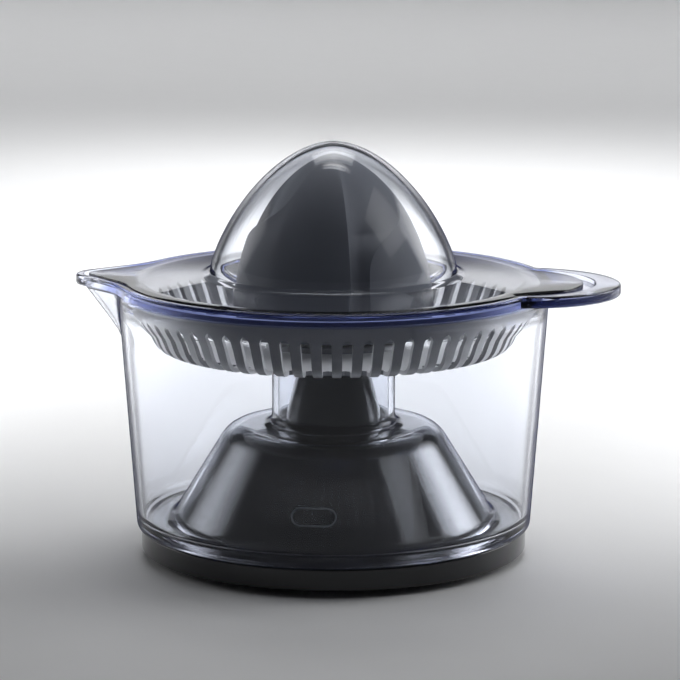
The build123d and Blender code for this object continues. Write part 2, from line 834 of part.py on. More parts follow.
def make_coil_bobbins():
    x0 = motor_x - bobbin_start
    x1 = x0 + bobbin_length
    bobbins = []
    for side in (-1, 1):
        sleeve = leg_sleeve(run_fit, bobbin_wall, x0, x1, side)
        sleeve += leg_sleeve(run_fit, bobbin_flange, x0, x0 + bobbin_wall, side)
        sleeve += leg_sleeve(run_fit, bobbin_flange, x1 - bobbin_wall, x1, side)
        bobbins.append(sleeve)
    return bobbins


def make_coil_windings():
    x0 = motor_x - bobbin_start + bobbin_wall
    x1 = x0 + bobbin_length - 2 * bobbin_wall
    coils = []
    for side in (-1, 1):
        coil = leg_sleeve(run_fit + bobbin_wall, winding_build, x0, x1, side)
        long_edges = coil.edges().filter_by(Axis.X).sort_by_distance(
            (motor_x, motor_y + side * (core_leg_gap + core_leg_width) / 2, stack_bottom + stack_height / 2))
        coils.append(fillet(long_edges[4:], winding_round))
    return coils


def make_motor_bracket():
    places = motor_screw_places()[2:]
    bottom = stack_bottom - motor_bracket_thickness
    arm_top = stack_bottom - bracket_step
    bracket = rod(motor_bush_radius + motor_bush_boss, bottom, arm_top, motor_x, motor_y)
    for x, y in places:
        bracket += rod(post_radius, bottom, stack_bottom, x, y)
        length = sqrt((x - motor_x) ** 2 + (y - motor_y) ** 2)
        arm = block(0, length, -bracket_arm_width / 2, bracket_arm_width / 2, bottom, arm_top)
        bracket += Pos(motor_x, motor_y, 0) * Rot(0, 0, degrees(atan2(y - motor_y, x - motor_x))) * arm
    bracket -= rod(motor_bush_radius, 0, stack_bottom + cut_over, motor_x, motor_y)
    for x, y in places:
        bracket -= rod(screw_radius + run_fit, 0, stack_bottom + cut_over, x, y)
    return bracket


def make_motor_screws():
    places = motor_screw_places()
    screw_top = gear_plate_bottom + 2 * bite
    tail = [screw(screw_top - stack_bottom, x, y, stack_bottom) for x, y in places[:2]]
    low = stack_bottom - motor_bracket_thickness
    nose = [screw(screw_top - low, x, y, low) for x, y in places[2:]]
    return tail + nose


def make_motor_bushes():
    low = stack_bottom - motor_bracket_thickness
    lower = tube(motor_bush_radius, rotor_shaft_radius + run_fit,
                 low, stack_bottom - bracket_step, motor_x, motor_y)
    upper = tube(motor_bush_radius, rotor_shaft_radius + run_fit,
                 gear_plate_bottom, gear_plate_top, motor_x, motor_y)
    return [lower, upper]


def make_rotor_magnet():
    return tube(rotor_radius, rotor_shaft_radius, stack_bottom + rotor_end_gap, stack_top - rotor_end_gap,
                motor_x, motor_y)


def make_rotor_shaft():
    return rod(rotor_shaft_radius, stack_bottom - motor_bracket_thickness, idler_wheel_top, motor_x, motor_y)


def make_motor_pinion():
    toward_idler = degrees(atan2(idler_y - motor_y, idler_x - motor_x))
    height = idler_wheel_height + 2 * motor_pinion_over
    gear = spur_gear(idler_module, motor_pinion_teeth, height, toward_idler + 180 / motor_pinion_teeth)
    gear -= rod(rotor_shaft_radius, -cut_over, height + cut_over)
    return Pos(motor_x, motor_y, idler_wheel_bottom - motor_pinion_over) * gear


def make_idler_gear():
    toward_motor = degrees(atan2(motor_y - idler_y, motor_x - idler_x))
    wheel = spur_gear(idler_module, idler_teeth, idler_wheel_height, toward_motor)
    hole = rod(idler_hole_radius, -cut_over, idler_wheel_height + cut_over, idler_hole_circle)
    for k in range(idler_hole_count):
        wheel -= Rot(0, 0, 360 * k / idler_hole_count) * hole
    pinion_height = gear_step + output_gear_height + pinion_over
    pinion = spur_gear(output_module, idler_pinion_teeth, pinion_height, idler_direction + 180)
    idler = wheel + Pos(0, 0, idler_wheel_height) * pinion
    idler += rod(idler_boss_radius, idler_boss_gap - gear_step, idler_boss_gap)
    idler_top = idler_wheel_height + pinion_height
    idler -= rod(idler_axle_radius + run_fit, -gear_step - cut_over, idler_top + cut_over)
    return Pos(idler_x, idler_y, idler_wheel_bottom) * idler


def make_idler_axle():
    return rod(idler_axle_radius, gear_plate_bottom, output_gear_top + axle_over, idler_x, idler_y)


def make_output_gear():
    gear = spur_gear(output_module, output_teeth, output_gear_height,
                     idler_direction + 180 / output_teeth)
    hole = rod(output_hole_radius, -cut_over, output_gear_height + cut_over, output_hole_circle)
    for k in range(output_hole_count):
        gear -= Rot(0, 0, 360 * k / output_hole_count) * hole
    hub_top = output_gear_top + output_hub_rise
    gear = Pos(0, 0, output_gear_bottom) * gear
    gear += rod(output_hub_radius, gear_plate_top + seat_gap, hub_top)
    gear += rod(output_journal_radius, journal_bottom, gear_plate_top + bite)
    return gear - square_bar(spindle_flat + 2 * drive_play, journal_bottom - cut_over, hub_top + cut_over)


def make_drive_spindle():
    bar = square_bar(spindle_flat, spindle_bottom, collar_level + bite)
    bar += rod(collar_radius, collar_level, collar_level + collar_height)
    bar += rod(spindle_radius, collar_level, socket_bottom - press_travel - cut_over)
    bar += square_bar(spindle_flat, neck_top, spindle_top - seat_gap)
    bar = chamfer(bar.edges().group_by(Axis.Z)[-1], edge_round)
    groove = rod(spindle_flat, ring_top - ring_thickness, ring_top) - rod(
        spindle_flat / sqrt(2) - ring_groove_depth, 0, ring_top + cut_over)
    return bar - groove


def make_retaining_ring():
    seat = spindle_flat / sqrt(2) - ring_groove_depth
    ring = tube(ring_radius, seat + run_fit, ring_top - ring_thickness + run_fit, ring_top - run_fit)
    return ring - block(0, ring_radius + cut_over, -ring_mouth / 2, ring_mouth / 2, 0, ring_top + cut_over)


def make_spindle_bush():
    return tube(bush_radius, spindle_radius + run_fit, bush_bottom, bush_bottom + bush_length)


def make_neck_seal():
    bottom = bush_bottom + bush_length
    return turned(
        (spindle_radius + seal_lip_width, bottom),
        (bush_radius, bottom),
        (bush_radius, neck_top - seal_lip_height),
        (spindle_radius + seal_lip_width, neck_top - seal_lip_height),
        (spindle_radius + run_fit, neck_top + seal_lip_height),
        (spindle_radius + run_fit, neck_top - seal_lip_depth),
    )


def make_return_spring():
    bottom = output_gear_top + output_hub_rise + spring_wire / 2 + seat_gap
    height = collar_level - spring_wire / 2 - seat_gap - bottom
    path = Helix(pitch=height / spring_turns, height=height, radius=spring_radius)
    start = Plane(origin=path @ 0, z_dir=path % 0)
    wire = sweep(start * Circle(spring_wire / 2), path=path, is_frenet=True)
    return Pos(0, 0, bottom) * wire


def make_micro_switch():
    top = switch_top()
    y0 = -switch_offset - switch_length / 2
    case = block(-switch_width / 2, switch_width / 2, y0, y0 + switch_length, top - switch_height, top)
    case = chamfer(case.edges().filter_by(Axis.X), switch_chamfer)
    pivot_y, pivot_z = lever_pivot()
    for side in (-1, 1):
        x = side * (switch_width - ear_thickness) / 2
        case += block(x - ear_thickness / 2, x + ear_thickness / 2, pivot_y - ear_length / 2,
                      pivot_y + ear_length / 2, top - bite, pivot_z + ear_over)
    case -= Pos(0, pivot_y, pivot_z) * Rot(0, 90, 0) * Cylinder(lever_pin_radius, 2 * switch_width)
    case -= rod(plunger_radius + run_fit, top - plunger_bore_depth, top + cut_over, 0, pivot_y + plunger_arm)
    for k in range(switch_tab_count):
        y = y0 + switch_tab_start + switch_tab_pitch * k
        case += block(-switch_tab_thickness / 2, switch_tab_thickness / 2,
                      y - switch_tab_width / 2, y + switch_tab_width / 2,
                      top - switch_height - terminal_drop, top - switch_height + bite)
    return case


def make_switch_plunger():
    pivot_y, pivot_z = lever_pivot()
    top = pivot_z + plunger_arm * sin(lever_rise()) - lever_thickness - seat_gap
    return rod(plunger_radius, switch_top() - plunger_depth, top, 0, pivot_y + plunger_arm)


def lever_rise():
    """Rise of the lever from its pivot to the tail of the spindle."""
    return asin((spindle_bottom - lever_gap - lever_thickness / 2 - lever_pivot()[1]) / lever_length)


def make_switch_lever():
    pivot_y, pivot_z = lever_pivot()
    eye = Rot(0, 90, 0) * Cylinder(lever_pin_radius + lever_eye_wall, switch_width - 2 * lever_eye_gap)
    pad_end = lever_length + lever_pad_end
    blade = block(-lever_blade_width / 2, lever_blade_width / 2, 0, lever_length,
                  -lever_thickness / 2, lever_thickness / 2)
    pad = block(-lever_width / 2, lever_width / 2, pad_end - lever_pad_length, pad_end,
                -lever_thickness / 2, lever_thickness / 2)
    lever = eye + blade + pad - Rot(0, 90, 0) * Cylinder(lever_pin_radius + run_fit, switch_width)
    return Pos(0, pivot_y, pivot_z) * Rot(degrees(lever_rise()), 0, 0) * lever


def make_lever_pin():
    pivot_y, pivot_z = lever_pivot()
    return Pos(0, pivot_y, pivot_z) * Rot(0, 90, 0) * Cylinder(lever_pin_radius, switch_width)


def make_terminal_block():
    body = block(-terminal_length / 2, terminal_length / 2, -terminal_width / 2, terminal_width / 2,
                 bottom_plate_top, bottom_plate_top + terminal_height)
    pitch = terminal_length / (terminal_ways + 1)
    for k in range(terminal_ways):
        x = -terminal_length / 2 + pitch * (k + 1)
        body -= rod(terminal_screw_radius, bottom_plate_top + terminal_screw_floor,
                    bottom_plate_top + terminal_height + cut_over, x)
        body -= Pos(x, 0, bottom_plate_top + terminal_wire_level) * Rot(90, 0, 0) * Cylinder(
            terminal_wire_radius, terminal_width + cut_over)
    return Pos(terminal_x, terminal_y, 0) * Rot(0, 0, terminal_turn) * body


def make_cord_gland():
    shank = Pos(0, 0, -base_wall / 2) * Cylinder(gland_radius, base_wall)
    flange = Pos(0, 0, gland_flange / 2) * Cylinder(gland_flange_radius, gland_flange)
    gland = shank + flange - Cylinder(gland_radius - gland_wall, 4 * base_wall)
    return Pos(0, plinth_radius + seat_gap, gland_level) * Rot(-90, 0, 0) * gland


pieces = {
    "jug": make_jug,
    "lid": make_lid,
    "strainer": make_strainer,
    "reamer": make_reamer,
    "base_housing": make_base_housing,
    "bottom_plate": make_bottom_plate,
    "rubber_feet": make_feet,
    "bottom_screws": make_bottom_screws,
    "cord_gland": make_cord_gland,
    "gear_plate": make_gear_plate,
    "plate_screws": make_plate_screws,
    "stator_core": make_stator_core,
    "coil_bobbins": make_coil_bobbins,
    "coil_windings": make_coil_windings,
    "motor_bracket": make_motor_bracket,
    "motor_screws": make_motor_screws,
    "motor_bushes": make_motor_bushes,
    "rotor_magnet": make_rotor_magnet,
    "rotor_shaft": make_rotor_shaft,
    "motor_pinion": make_motor_pinion,
    "idler_gear": make_idler_gear,
    "idler_axle": make_idler_axle,
    "output_gear": make_output_gear,
    "drive_spindle": make_drive_spindle,
    "retaining_ring": make_retaining_ring,
    "return_spring": make_return_spring,
    "spindle_bush": make_spindle_bush,
    "neck_seal": make_neck_seal,
    "micro_switch": make_micro_switch,
    "switch_plunger": make_switch_plunger,
    "switch_lever": make_switch_lever,
    "lever_pin": make_lever_pin,
    "terminal_block": make_terminal_block,
}

os.makedirs("parts", exist_ok=True)
for node, make in pieces.items():
    shape = make()
    if isinstance(shape, list):
        shape = Compound(children=shape)
    export_step(shape, "parts/" + node + ".step")
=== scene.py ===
import json
from math import asin, atan2, cos, pi, radians, sin, sqrt, tanh

import bmesh
import bpy
from bpy.props import FloatProperty, FloatVectorProperty, IntProperty, PointerProperty
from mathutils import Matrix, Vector


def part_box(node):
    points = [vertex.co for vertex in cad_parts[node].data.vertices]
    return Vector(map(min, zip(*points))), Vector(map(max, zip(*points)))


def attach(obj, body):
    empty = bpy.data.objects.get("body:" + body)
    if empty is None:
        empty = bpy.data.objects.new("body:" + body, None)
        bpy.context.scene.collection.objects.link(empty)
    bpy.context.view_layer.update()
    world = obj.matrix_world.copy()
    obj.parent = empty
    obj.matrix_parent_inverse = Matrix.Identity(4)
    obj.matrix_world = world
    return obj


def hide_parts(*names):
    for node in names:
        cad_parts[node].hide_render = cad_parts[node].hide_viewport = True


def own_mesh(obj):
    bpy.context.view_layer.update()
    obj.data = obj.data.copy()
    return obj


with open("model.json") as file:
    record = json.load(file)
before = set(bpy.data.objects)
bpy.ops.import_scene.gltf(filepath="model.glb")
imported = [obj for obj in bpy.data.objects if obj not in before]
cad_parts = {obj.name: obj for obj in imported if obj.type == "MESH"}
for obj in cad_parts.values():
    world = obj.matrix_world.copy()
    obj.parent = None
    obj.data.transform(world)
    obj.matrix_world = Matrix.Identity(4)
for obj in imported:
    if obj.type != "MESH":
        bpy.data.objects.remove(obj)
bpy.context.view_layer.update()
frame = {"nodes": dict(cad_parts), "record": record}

bl_info = {
    "name": "Citrus Press",
    "version": (1, 0, 0),
    "blender": (4, 5, 0),
    "location": "View3D > Sidebar > Citrus Press",
    "description": "Builds the visible pieces of an electric citrus press on its packed frame",
    "category": "Object",
}

mm = 0.001


def length(name, description, value):
    """A size in metres, given in millimetres."""
    return FloatProperty(name=name, description=description, default=value / 1000, unit="LENGTH",
                         subtype="DISTANCE", precision=5)


def tint(name, description, value):
    """A surface colour."""
    return FloatVectorProperty(name=name, description=description, default=value, subtype="COLOR", min=0, max=1)


class JugSizes(bpy.types.PropertyGroup):
    """Sizes of the clear jug"""
    bottom: length("Bottom", "Height of the underside", 10.62)
    floor: length("Floor", "Height of the inside floor", 13.92)
    foot_radius: length("Foot radius", "Outside radius at the underside", 71.6)
    rim_radius: length("Rim radius", "Outside radius at the rim", 78.2)
    rim: length("Rim", "Height of the rim", 101.0)
    wall: length("Wall", "Wall thickness", 2.2)
    spout_reach: length("Spout reach", "Distance of the spout tip from the axis", 94.6)
    spout_round: length("Spout round", "Radius of the spout tip", 10.0)
    spout_drop: length("Spout drop", "Height of the spout below the rim", 24.0)
    tab_reach: length("Tab reach", "Distance of the handle tab's edge from the axis", 103.5)
    tab_radius: length("Tab radius", "Radius of the handle tab", 33.0)
    chimney_radius: length("Chimney radius", "Outside radius of the chimney", 22.3)
    chimney_top: length("Chimney top", "Height of the chimney", 79.6)
    shoulder: length("Shoulder", "Height of the inside shoulder", 48.2)
    colour: tint("Colour", "Colour of the clear plastic", (0.95, 0.965, 0.99))
    # deep colour: partly the plastic's blue seen along the wall, partly painted shade for the dark edges
    deep_tint_and_edge_shade_colour: tint("Deep colour", "Colour seen along the clear wall", (0.035, 0.045, 0.16))


class LidSizes(bpy.types.PropertyGroup):
    """Sizes of the clear lid"""
    wall: length("Wall", "Wall thickness", 1.8)
    dome_radius: length("Dome radius", "Outside radius of the dome at its foot", 44.8)
    dome_foot: length("Dome foot", "Height of the foot of the dome", 103.6)
    dome_height: length("Dome height", "Height of the dome above its foot", 47.0)
    edge_radius: length("Edge radius", "Radius of the lid edge", 75.2)
    tongue_reach: length("Tongue reach", "Distance of both tongues from the axis", 90.0)


class StrainerSizes(bpy.types.PropertyGroup):
    """Sizes of the slotted strainer"""
    seat: length("Seat", "Height of the flange's underside", 96.52)
    wall: length("Wall", "Wall thickness", 1.6)
    flange_radius: length("Flange radius", "Outside radius of the flange", 74.2)
    top_radius: length("Top radius", "Wall radius under the flange", 72.2)
    floor_radius: length("Floor radius", "Wall radius at the floor", 64.0)
    floor: length("Floor", "Height of the underside", 76.02)
    slot_width: length("Slot width", "Width of each slot", 3.4)
    slots: IntProperty(name="Slots", description="Number of slots round the wall", default=60, min=3)
    colour: tint("Colour", "Colour of the strainer", (0.2, 0.208, 0.232))


class ReamerSizes(bpy.types.PropertyGroup):
    """Sizes of the reamer cone"""
    radius: length("Radius", "Radius at the foot", 36.6)
    bottom: length("Bottom", "Height of the foot", 86.5)
    apex: length("Apex", "Height of the tip", 146.0)
    flute_depth: length("Flute depth", "Depth of the scoops", 5.6)
    wings: IntProperty(name="Wings", description="Number of wings", default=3, min=2)
    edge_turn: FloatProperty(name="Edge turn", description="Direction of the first wing edge",
                             default=radians(-72), subtype="ANGLE")
    colour: tint("Colour", "Colour of the reamer", (0.15, 0.16, 0.185))


class BaseSizes(bpy.types.PropertyGroup):
    """Sizes of the motor base"""
    plinth_radius: length("Plinth radius", "Radius of the plinth", 70.0)
    plinth_top: length("Plinth top", "Height of the plinth", 10.6)
    cone_radius: length("Cone radius", "Radius of the cone at the plinth", 57.9)
    top_radius: length("Top radius", "Radius of the cone at its top", 36.47)
    top: length("Top", "Height of the shoulder", 45.3)
    neck_foot: length("Neck foot", "Radius of the neck at the shoulder", 18.8)
    neck_radius: length("Neck radius", "Radius of the neck at its top", 12.0)
    neck_top: length("Neck top", "Height of the neck", 81.0)
    badge_level: length("Badge level", "Height of the middle of the stadium outline", 24.0)
    badge_length: length("Badge length", "Length of the stadium outline", 15.5)
    badge_height: length("Badge height", "Height of the stadium outline", 6.5)
    badge_line: length("Badge line", "Half width of the outline", 0.32)
    colour: tint("Colour", "Colour of the base", (0.008, 0.0085, 0.0105))


class SpringSizes(bpy.types.PropertyGroup):
    """Sizes of the return spring"""
    wire: length("Wire", "Thickness of the wire", 1.1)
    radius: length("Radius", "Radius of the turns at the middle of the wire", 5.6)
    travel: length("Travel", "How far the press shortens the spring", 2.5)
    turns: IntProperty(name="Turns", description="Number of turns", default=6, min=1)


class StageSizes(bpy.types.PropertyGroup):
    """Camera, floor and light"""
    distance: FloatProperty(name="Distance", description="Level distance of the camera from the axis",
                            default=1.2, unit="LENGTH")
    height: FloatProperty(name="Height", description="Height of the camera", default=0.3012, unit="LENGTH")
    target: FloatProperty(name="Target", description="Height that the camera looks at",
                          default=0.0782, unit="LENGTH")
    turn: FloatProperty(name="Turn", description="Camera direction from the front", default=radians(8),
                        subtype="ANGLE")
    lens: FloatProperty(name="Lens", description="Focal length in millimetres", default=178.4)
    shift: FloatProperty(name="Shift", description="Sideways shift of the picture", default=0.0095)
    floor_colour: tint("Floor", "Colour of the floor", (0.86, 0.865, 0.875))


class Wire:
    """A shader value that can be used in ordinary arithmetic."""

    def __init__(self, tree, socket=None):
        self.tree = tree
        self.socket = socket

    def make(self, kind, settings=None, values=None, output=0):
        """Adds a node, sets it up, and returns one of its outputs."""
        node = self.tree.nodes.new(kind)
        for key, value in (settings or {}).items():
            setattr(node, key, value)
        for key, value in (values or {}).items():
            if isinstance(value, Wire):
                self.tree.links.new(value.socket, node.inputs[key])
            else:
                node.inputs[key].default_value = value
        return Wire(self.tree, node.outputs[output])

    def sum(self, operation, a, b):
        """One Math node on two values."""
        return self.make("ShaderNodeMath", {"operation": operation}, {0: a, 1: b})

    def __add__(self, other):
        return self.sum("ADD", self, other)

    __radd__ = __add__

    def __mul__(self, other):
        return self.sum("MULTIPLY", self, other)

    __rmul__ = __mul__

    def noise(self, scale, detail, rough=0.5, stretch=(1.0, 1.0, 1.0)):
        """Noise on the piece's own coordinates."""
        place = self.make("ShaderNodeTexCoord", output="Object")
        place = self.make("ShaderNodeVectorMath", {"operation": "MULTIPLY"}, {0: place, 1: stretch}, "Vector")
        return self.make("ShaderNodeTexNoise", None, {"Vector": place, "Scale": scale, "Detail": detail,
                                                      "Roughness": rough})

    def blend(self, factor, a, b):
        """One colour going over into another."""
        return self.make("ShaderNodeMix", {"data_type": "RGBA"}, {0: factor, 6: a, 7: b}, 2)

    def ease(self, value, low, high, start=0.0, end=1.0):
        """Goes smoothly from start to end while the value goes from low to high."""
        return self.make("ShaderNodeMapRange", {"interpolation_type": "SMOOTHSTEP"},
                         {"Value": value, "From Min": low, "From Max": high, "To Min": start, "To Max": end})

    def facing(self):
        """0 where the surface faces the eye, 1 where it is seen edge on."""
        return self.make("ShaderNodeLayerWeight", None, {"Blend": 0.5}, "Facing")


def finish(name, colour, constants, rough, spread=0.06, grain=900.0, bump=0.15, bump_depth=0.00003, shade=0.12,
           stretch=(1.0, 1.0, 1.0), lines=None):
    """A moulded or metal finish: fine grain in the surface, with slow changes of tone and gloss.

    Lines, when given, are an axis and a scale: sheet edges or turns of wire side by side along that axis.
    """
    material = bpy.data.materials.new(name)
    material.use_nodes = True
    tree = material.node_tree
    shader = tree.nodes["Principled BSDF"]
    for key, value in constants.items():
        shader.inputs[key].default_value = value
    wire = Wire(tree)
    slow = wire.noise(38.0, detail=2.0)
    fine = wire.noise(grain, detail=4.0, rough=0.6, stretch=stretch)
    if lines:
        place = wire.make("ShaderNodeTexCoord", output="Object")
        axis, scale = lines
        bands = wire.make("ShaderNodeTexWave", {"bands_direction": axis}, {"Vector": place, "Scale": scale}, "Fac")
        fine = bands * 0.8 + fine * 0.2
    dark = [c * (1 - shade) for c in colour] + [1.0]
    light = [min(c * (1 + shade), 1.0) for c in colour] + [1.0]
    tone = wire.blend(slow * 0.7 + fine * 0.3, dark, light)
    gloss = slow * spread + (rough - spread / 2)
    relief = wire.make("ShaderNodeBump", None, {"Strength": bump, "Distance": bump_depth, "Height": fine})
    tree.links.new(tone.socket, shader.inputs["Base Color"])
    tree.links.new(gloss.socket, shader.inputs["Roughness"])
    tree.links.new(relief.socket, shader.inputs["Normal"])
    return material


def clear_plastic_with_painted_edges(name, colour, deep_tint_and_edge_shade, band):
    """Clear moulded plastic: polished, blue in the rim above the band height, with painted shade where seen edge on.
    """
    band_colour = [0.34, 0.4, 0.76, 1.0]
    band_fade = 0.6 * mm
    round_rim, past_rim = 79 * mm, 85 * mm
    depth_colour, depth_density = (0.36, 0.44, 0.86, 1.0), 12.0
    material = finish(name, colour, {"Transmission Weight": 1.0, "IOR": 1.33}, 0.02,
                      spread=0.02, grain=120.0, bump=0.02, bump_depth=0.0002, shade=0.01)
    tree = material.node_tree
    shader = tree.nodes["Principled BSDF"]
    wire = Wire(tree)
    along = wire.facing()

    # blue band, weaker out on the spout and the handle tab
    tone = Wire(tree, shader.inputs["Base Color"].links[0].from_socket)
    place = wire.make("ShaderNodeTexCoord", output="Object")
    height = wire.make("ShaderNodeSeparateXYZ", None, {"Vector": place}, "Z")
    level = wire.make("ShaderNodeCombineXYZ", None, {"Z": height}, "Vector")
    reach = wire.make("ShaderNodeVectorMath", {"operation": "DISTANCE"}, {0: place, 1: level}, "Value")
    above = wire.ease(height, band - band_fade, band)
    within = wire.ease(reach, round_rim, past_rim, 1.0, 0.15)
    tone = wire.blend(above * within, tone, band_colour)
    # painted shade: the base colour goes over into the deep colour where the wall is seen edge on
    tone = wire.blend(wire.ease(along, 0.7, 0.97), tone, deep_tint_and_edge_shade + [1.0])
    tree.links.new(tone.socket, shader.inputs["Base Color"])

    # painted shade: a dark edge where the wall is seen edge on, wider on steep walls than on flat ones
    lean = wire.make("ShaderNodeNewGeometry", output="Normal")
    tilt = wire.make("ShaderNodeSeparateXYZ", None, {"Vector": lean}, "Z")
    steep = wire.ease(tilt * tilt, 0.2, 0.5, 1.0, 0.0)
    narrow = wire.ease(along, 0.82, 0.94, 0.0, 0.92)
    wide = wire.ease(along, 0.74, 0.86, 0.0, 0.7)
    share = wire.sum("MAXIMUM", narrow, wide * steep)
    edge_shade_colour = [c * 0.5 for c in deep_tint_and_edge_shade] + [1.0]
    edge = wire.make("ShaderNodeBsdfPrincipled", None,
                     {"Base Color": edge_shade_colour, "Roughness": 0.3, "Specular IOR Level": 0.0})
    surface = wire.make("ShaderNodeMixShader", None, {0: share, 1: Wire(tree, shader.outputs[0]), 2: edge})

    # blue tint that grows with the thickness looked through
    depth = wire.make("ShaderNodeVolumeAbsorption", None, {"Color": depth_colour, "Density": depth_density})
    output = tree.nodes["Material Output"]
    tree.links.new(surface.socket, output.inputs["Surface"])
    tree.links.new(depth.socket, output.inputs["Volume"])
    return material


def rounded(corners, steps=5):
    """Points of a half section whose (radius, height, round) corners are eased."""
    points = []
    count = len(corners)
    for index, (x, z, ease) in enumerate(corners):
        here = Vector((x, z))
        if not ease:
            points.append(here)
            continue
        back = Vector(corners[index - 1][:2]) - here
        ahead = Vector(corners[(index + 1) % count][:2]) - here
        reach = min(ease, back.length * 0.49, ahead.length * 0.49)
        start = here + back.normalized() * reach
        end = here + ahead.normalized() * reach
        for step in range(steps + 1):
            t = step / steps
            points.append(start * (1 - t) ** 2 + here * 2 * t * (1 - t) + end * t ** 2)
    return points


def mesh_piece(name, points, faces, material, sharp=32.0):
    """A smooth shaded mesh piece with its creases kept."""
    weld, sliver = 2e-6, 1e-6
    mesh = bpy.data.meshes.new(name)
    shape = bmesh.new()
    corners = [shape.verts.new(p) for p in points]
    for face in faces:
        shape.faces.new([corners[i] for i in face])
    bmesh.ops.remove_doubles(shape, verts=shape.verts, dist=weld)
    bmesh.ops.dissolve_degenerate(shape, dist=sliver, edges=shape.edges)
    bmesh.ops.recalc_face_normals(shape, faces=shape.faces)
    shape.to_mesh(mesh)
    shape.free()
    mesh.shade_smooth()
    mesh.set_sharp_from_angle(angle=radians(sharp))
    mesh.materials.append(material)
    piece = bpy.data.objects.new(name, mesh)
    bpy.context.scene.collection.objects.link(piece)
    return piece


def ring_faces(rings, count, joined=False, closed=True, start=0):
    """Faces between rings of points that follow one another.

    Joined rings come back to the first one; a ring that isn't closed is a line of points.
    """
    faces = []
    for k in range(rings if joined else rings - 1):
        here = start + k * count
        ahead = start + (k + 1) % rings * count
        for row in range(count if closed else count - 1):
            up = (row + 1) % count
            faces.append((here + row, ahead + row, ahead + up, here + up))
    return faces


def turned_piece(name, section, material, turns=480, closed=True):
    """A piece turned about the axis from a half section that may change with direction."""
    points = []
    for k in range(turns):
        turn = 2 * pi * k / turns
        column = section(turn)
        points += [(p[0] * cos(turn), p[0] * sin(turn), p[1]) for p in column]
    faces = ring_faces(turns, len(column), joined=True, closed=closed)
    return mesh_piece(name, points, faces, material)


def settle(piece, body, slot, *nodes):
    """Puts a finished piece on its body in place of its plain solid."""
    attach(piece, body)
    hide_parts(*nodes)


def soft_max(a, b, ease):
    """The larger of two sizes, eased where they cross."""
    near = max(ease - abs(a - b), 0) / ease
    return max(a, b) + near * near * ease * 0.25


def turned_from(turn, direction):
    """Angle between two directions, from -pi to pi."""
    return atan2(sin(turn - direction), cos(turn - direction))


def wedge_reach(turn, reach, spread, root, ease):
    """Distance of the spout outline from the axis in one direction."""
    off = abs(turned_from(turn, pi))
    root_x, root_y = root * cos(spread), root * sin(spread)
    lean = atan2(root_y, reach - root_x)
    for _ in range(6):  # the tip and the lean of the sides depend on each other
        tip = reach + ease * (1 / sin(lean) - 1)
        lean = atan2(root_y, tip - root_x)
    if off > pi / 2 - lean:
        return 0.0
    line = tip * sin(lean) / sin(lean + off)
    centre = tip - ease / sin(lean)
    inside = ease ** 2 - (centre * sin(off)) ** 2
    if inside <= 0:
        return line
    arc = centre * cos(off) + sqrt(inside)
    touches = arc * cos(off) >= centre + ease * sin(lean)
    return arc if touches else line


def disc_reach(turn, centre, radius):
    """Distance of a disc's far edge from the axis in one direction, for a disc on +X."""
    widest = 1.2
    off = abs(turned_from(turn, 0))
    inside = radius ** 2 - (centre * sin(off)) ** 2
    if inside <= 0 or off > widest:
        return 0.0
    return centre * cos(off) + sqrt(inside)


def cone_radius(z):
    """Radius of the motor base's cone at one height."""
    base = bpy.context.scene.press_base
    share = (z - base.plinth_top) / (base.top - base.plinth_top)
    return base.cone_radius + share * (base.top_radius - base.cone_radius)


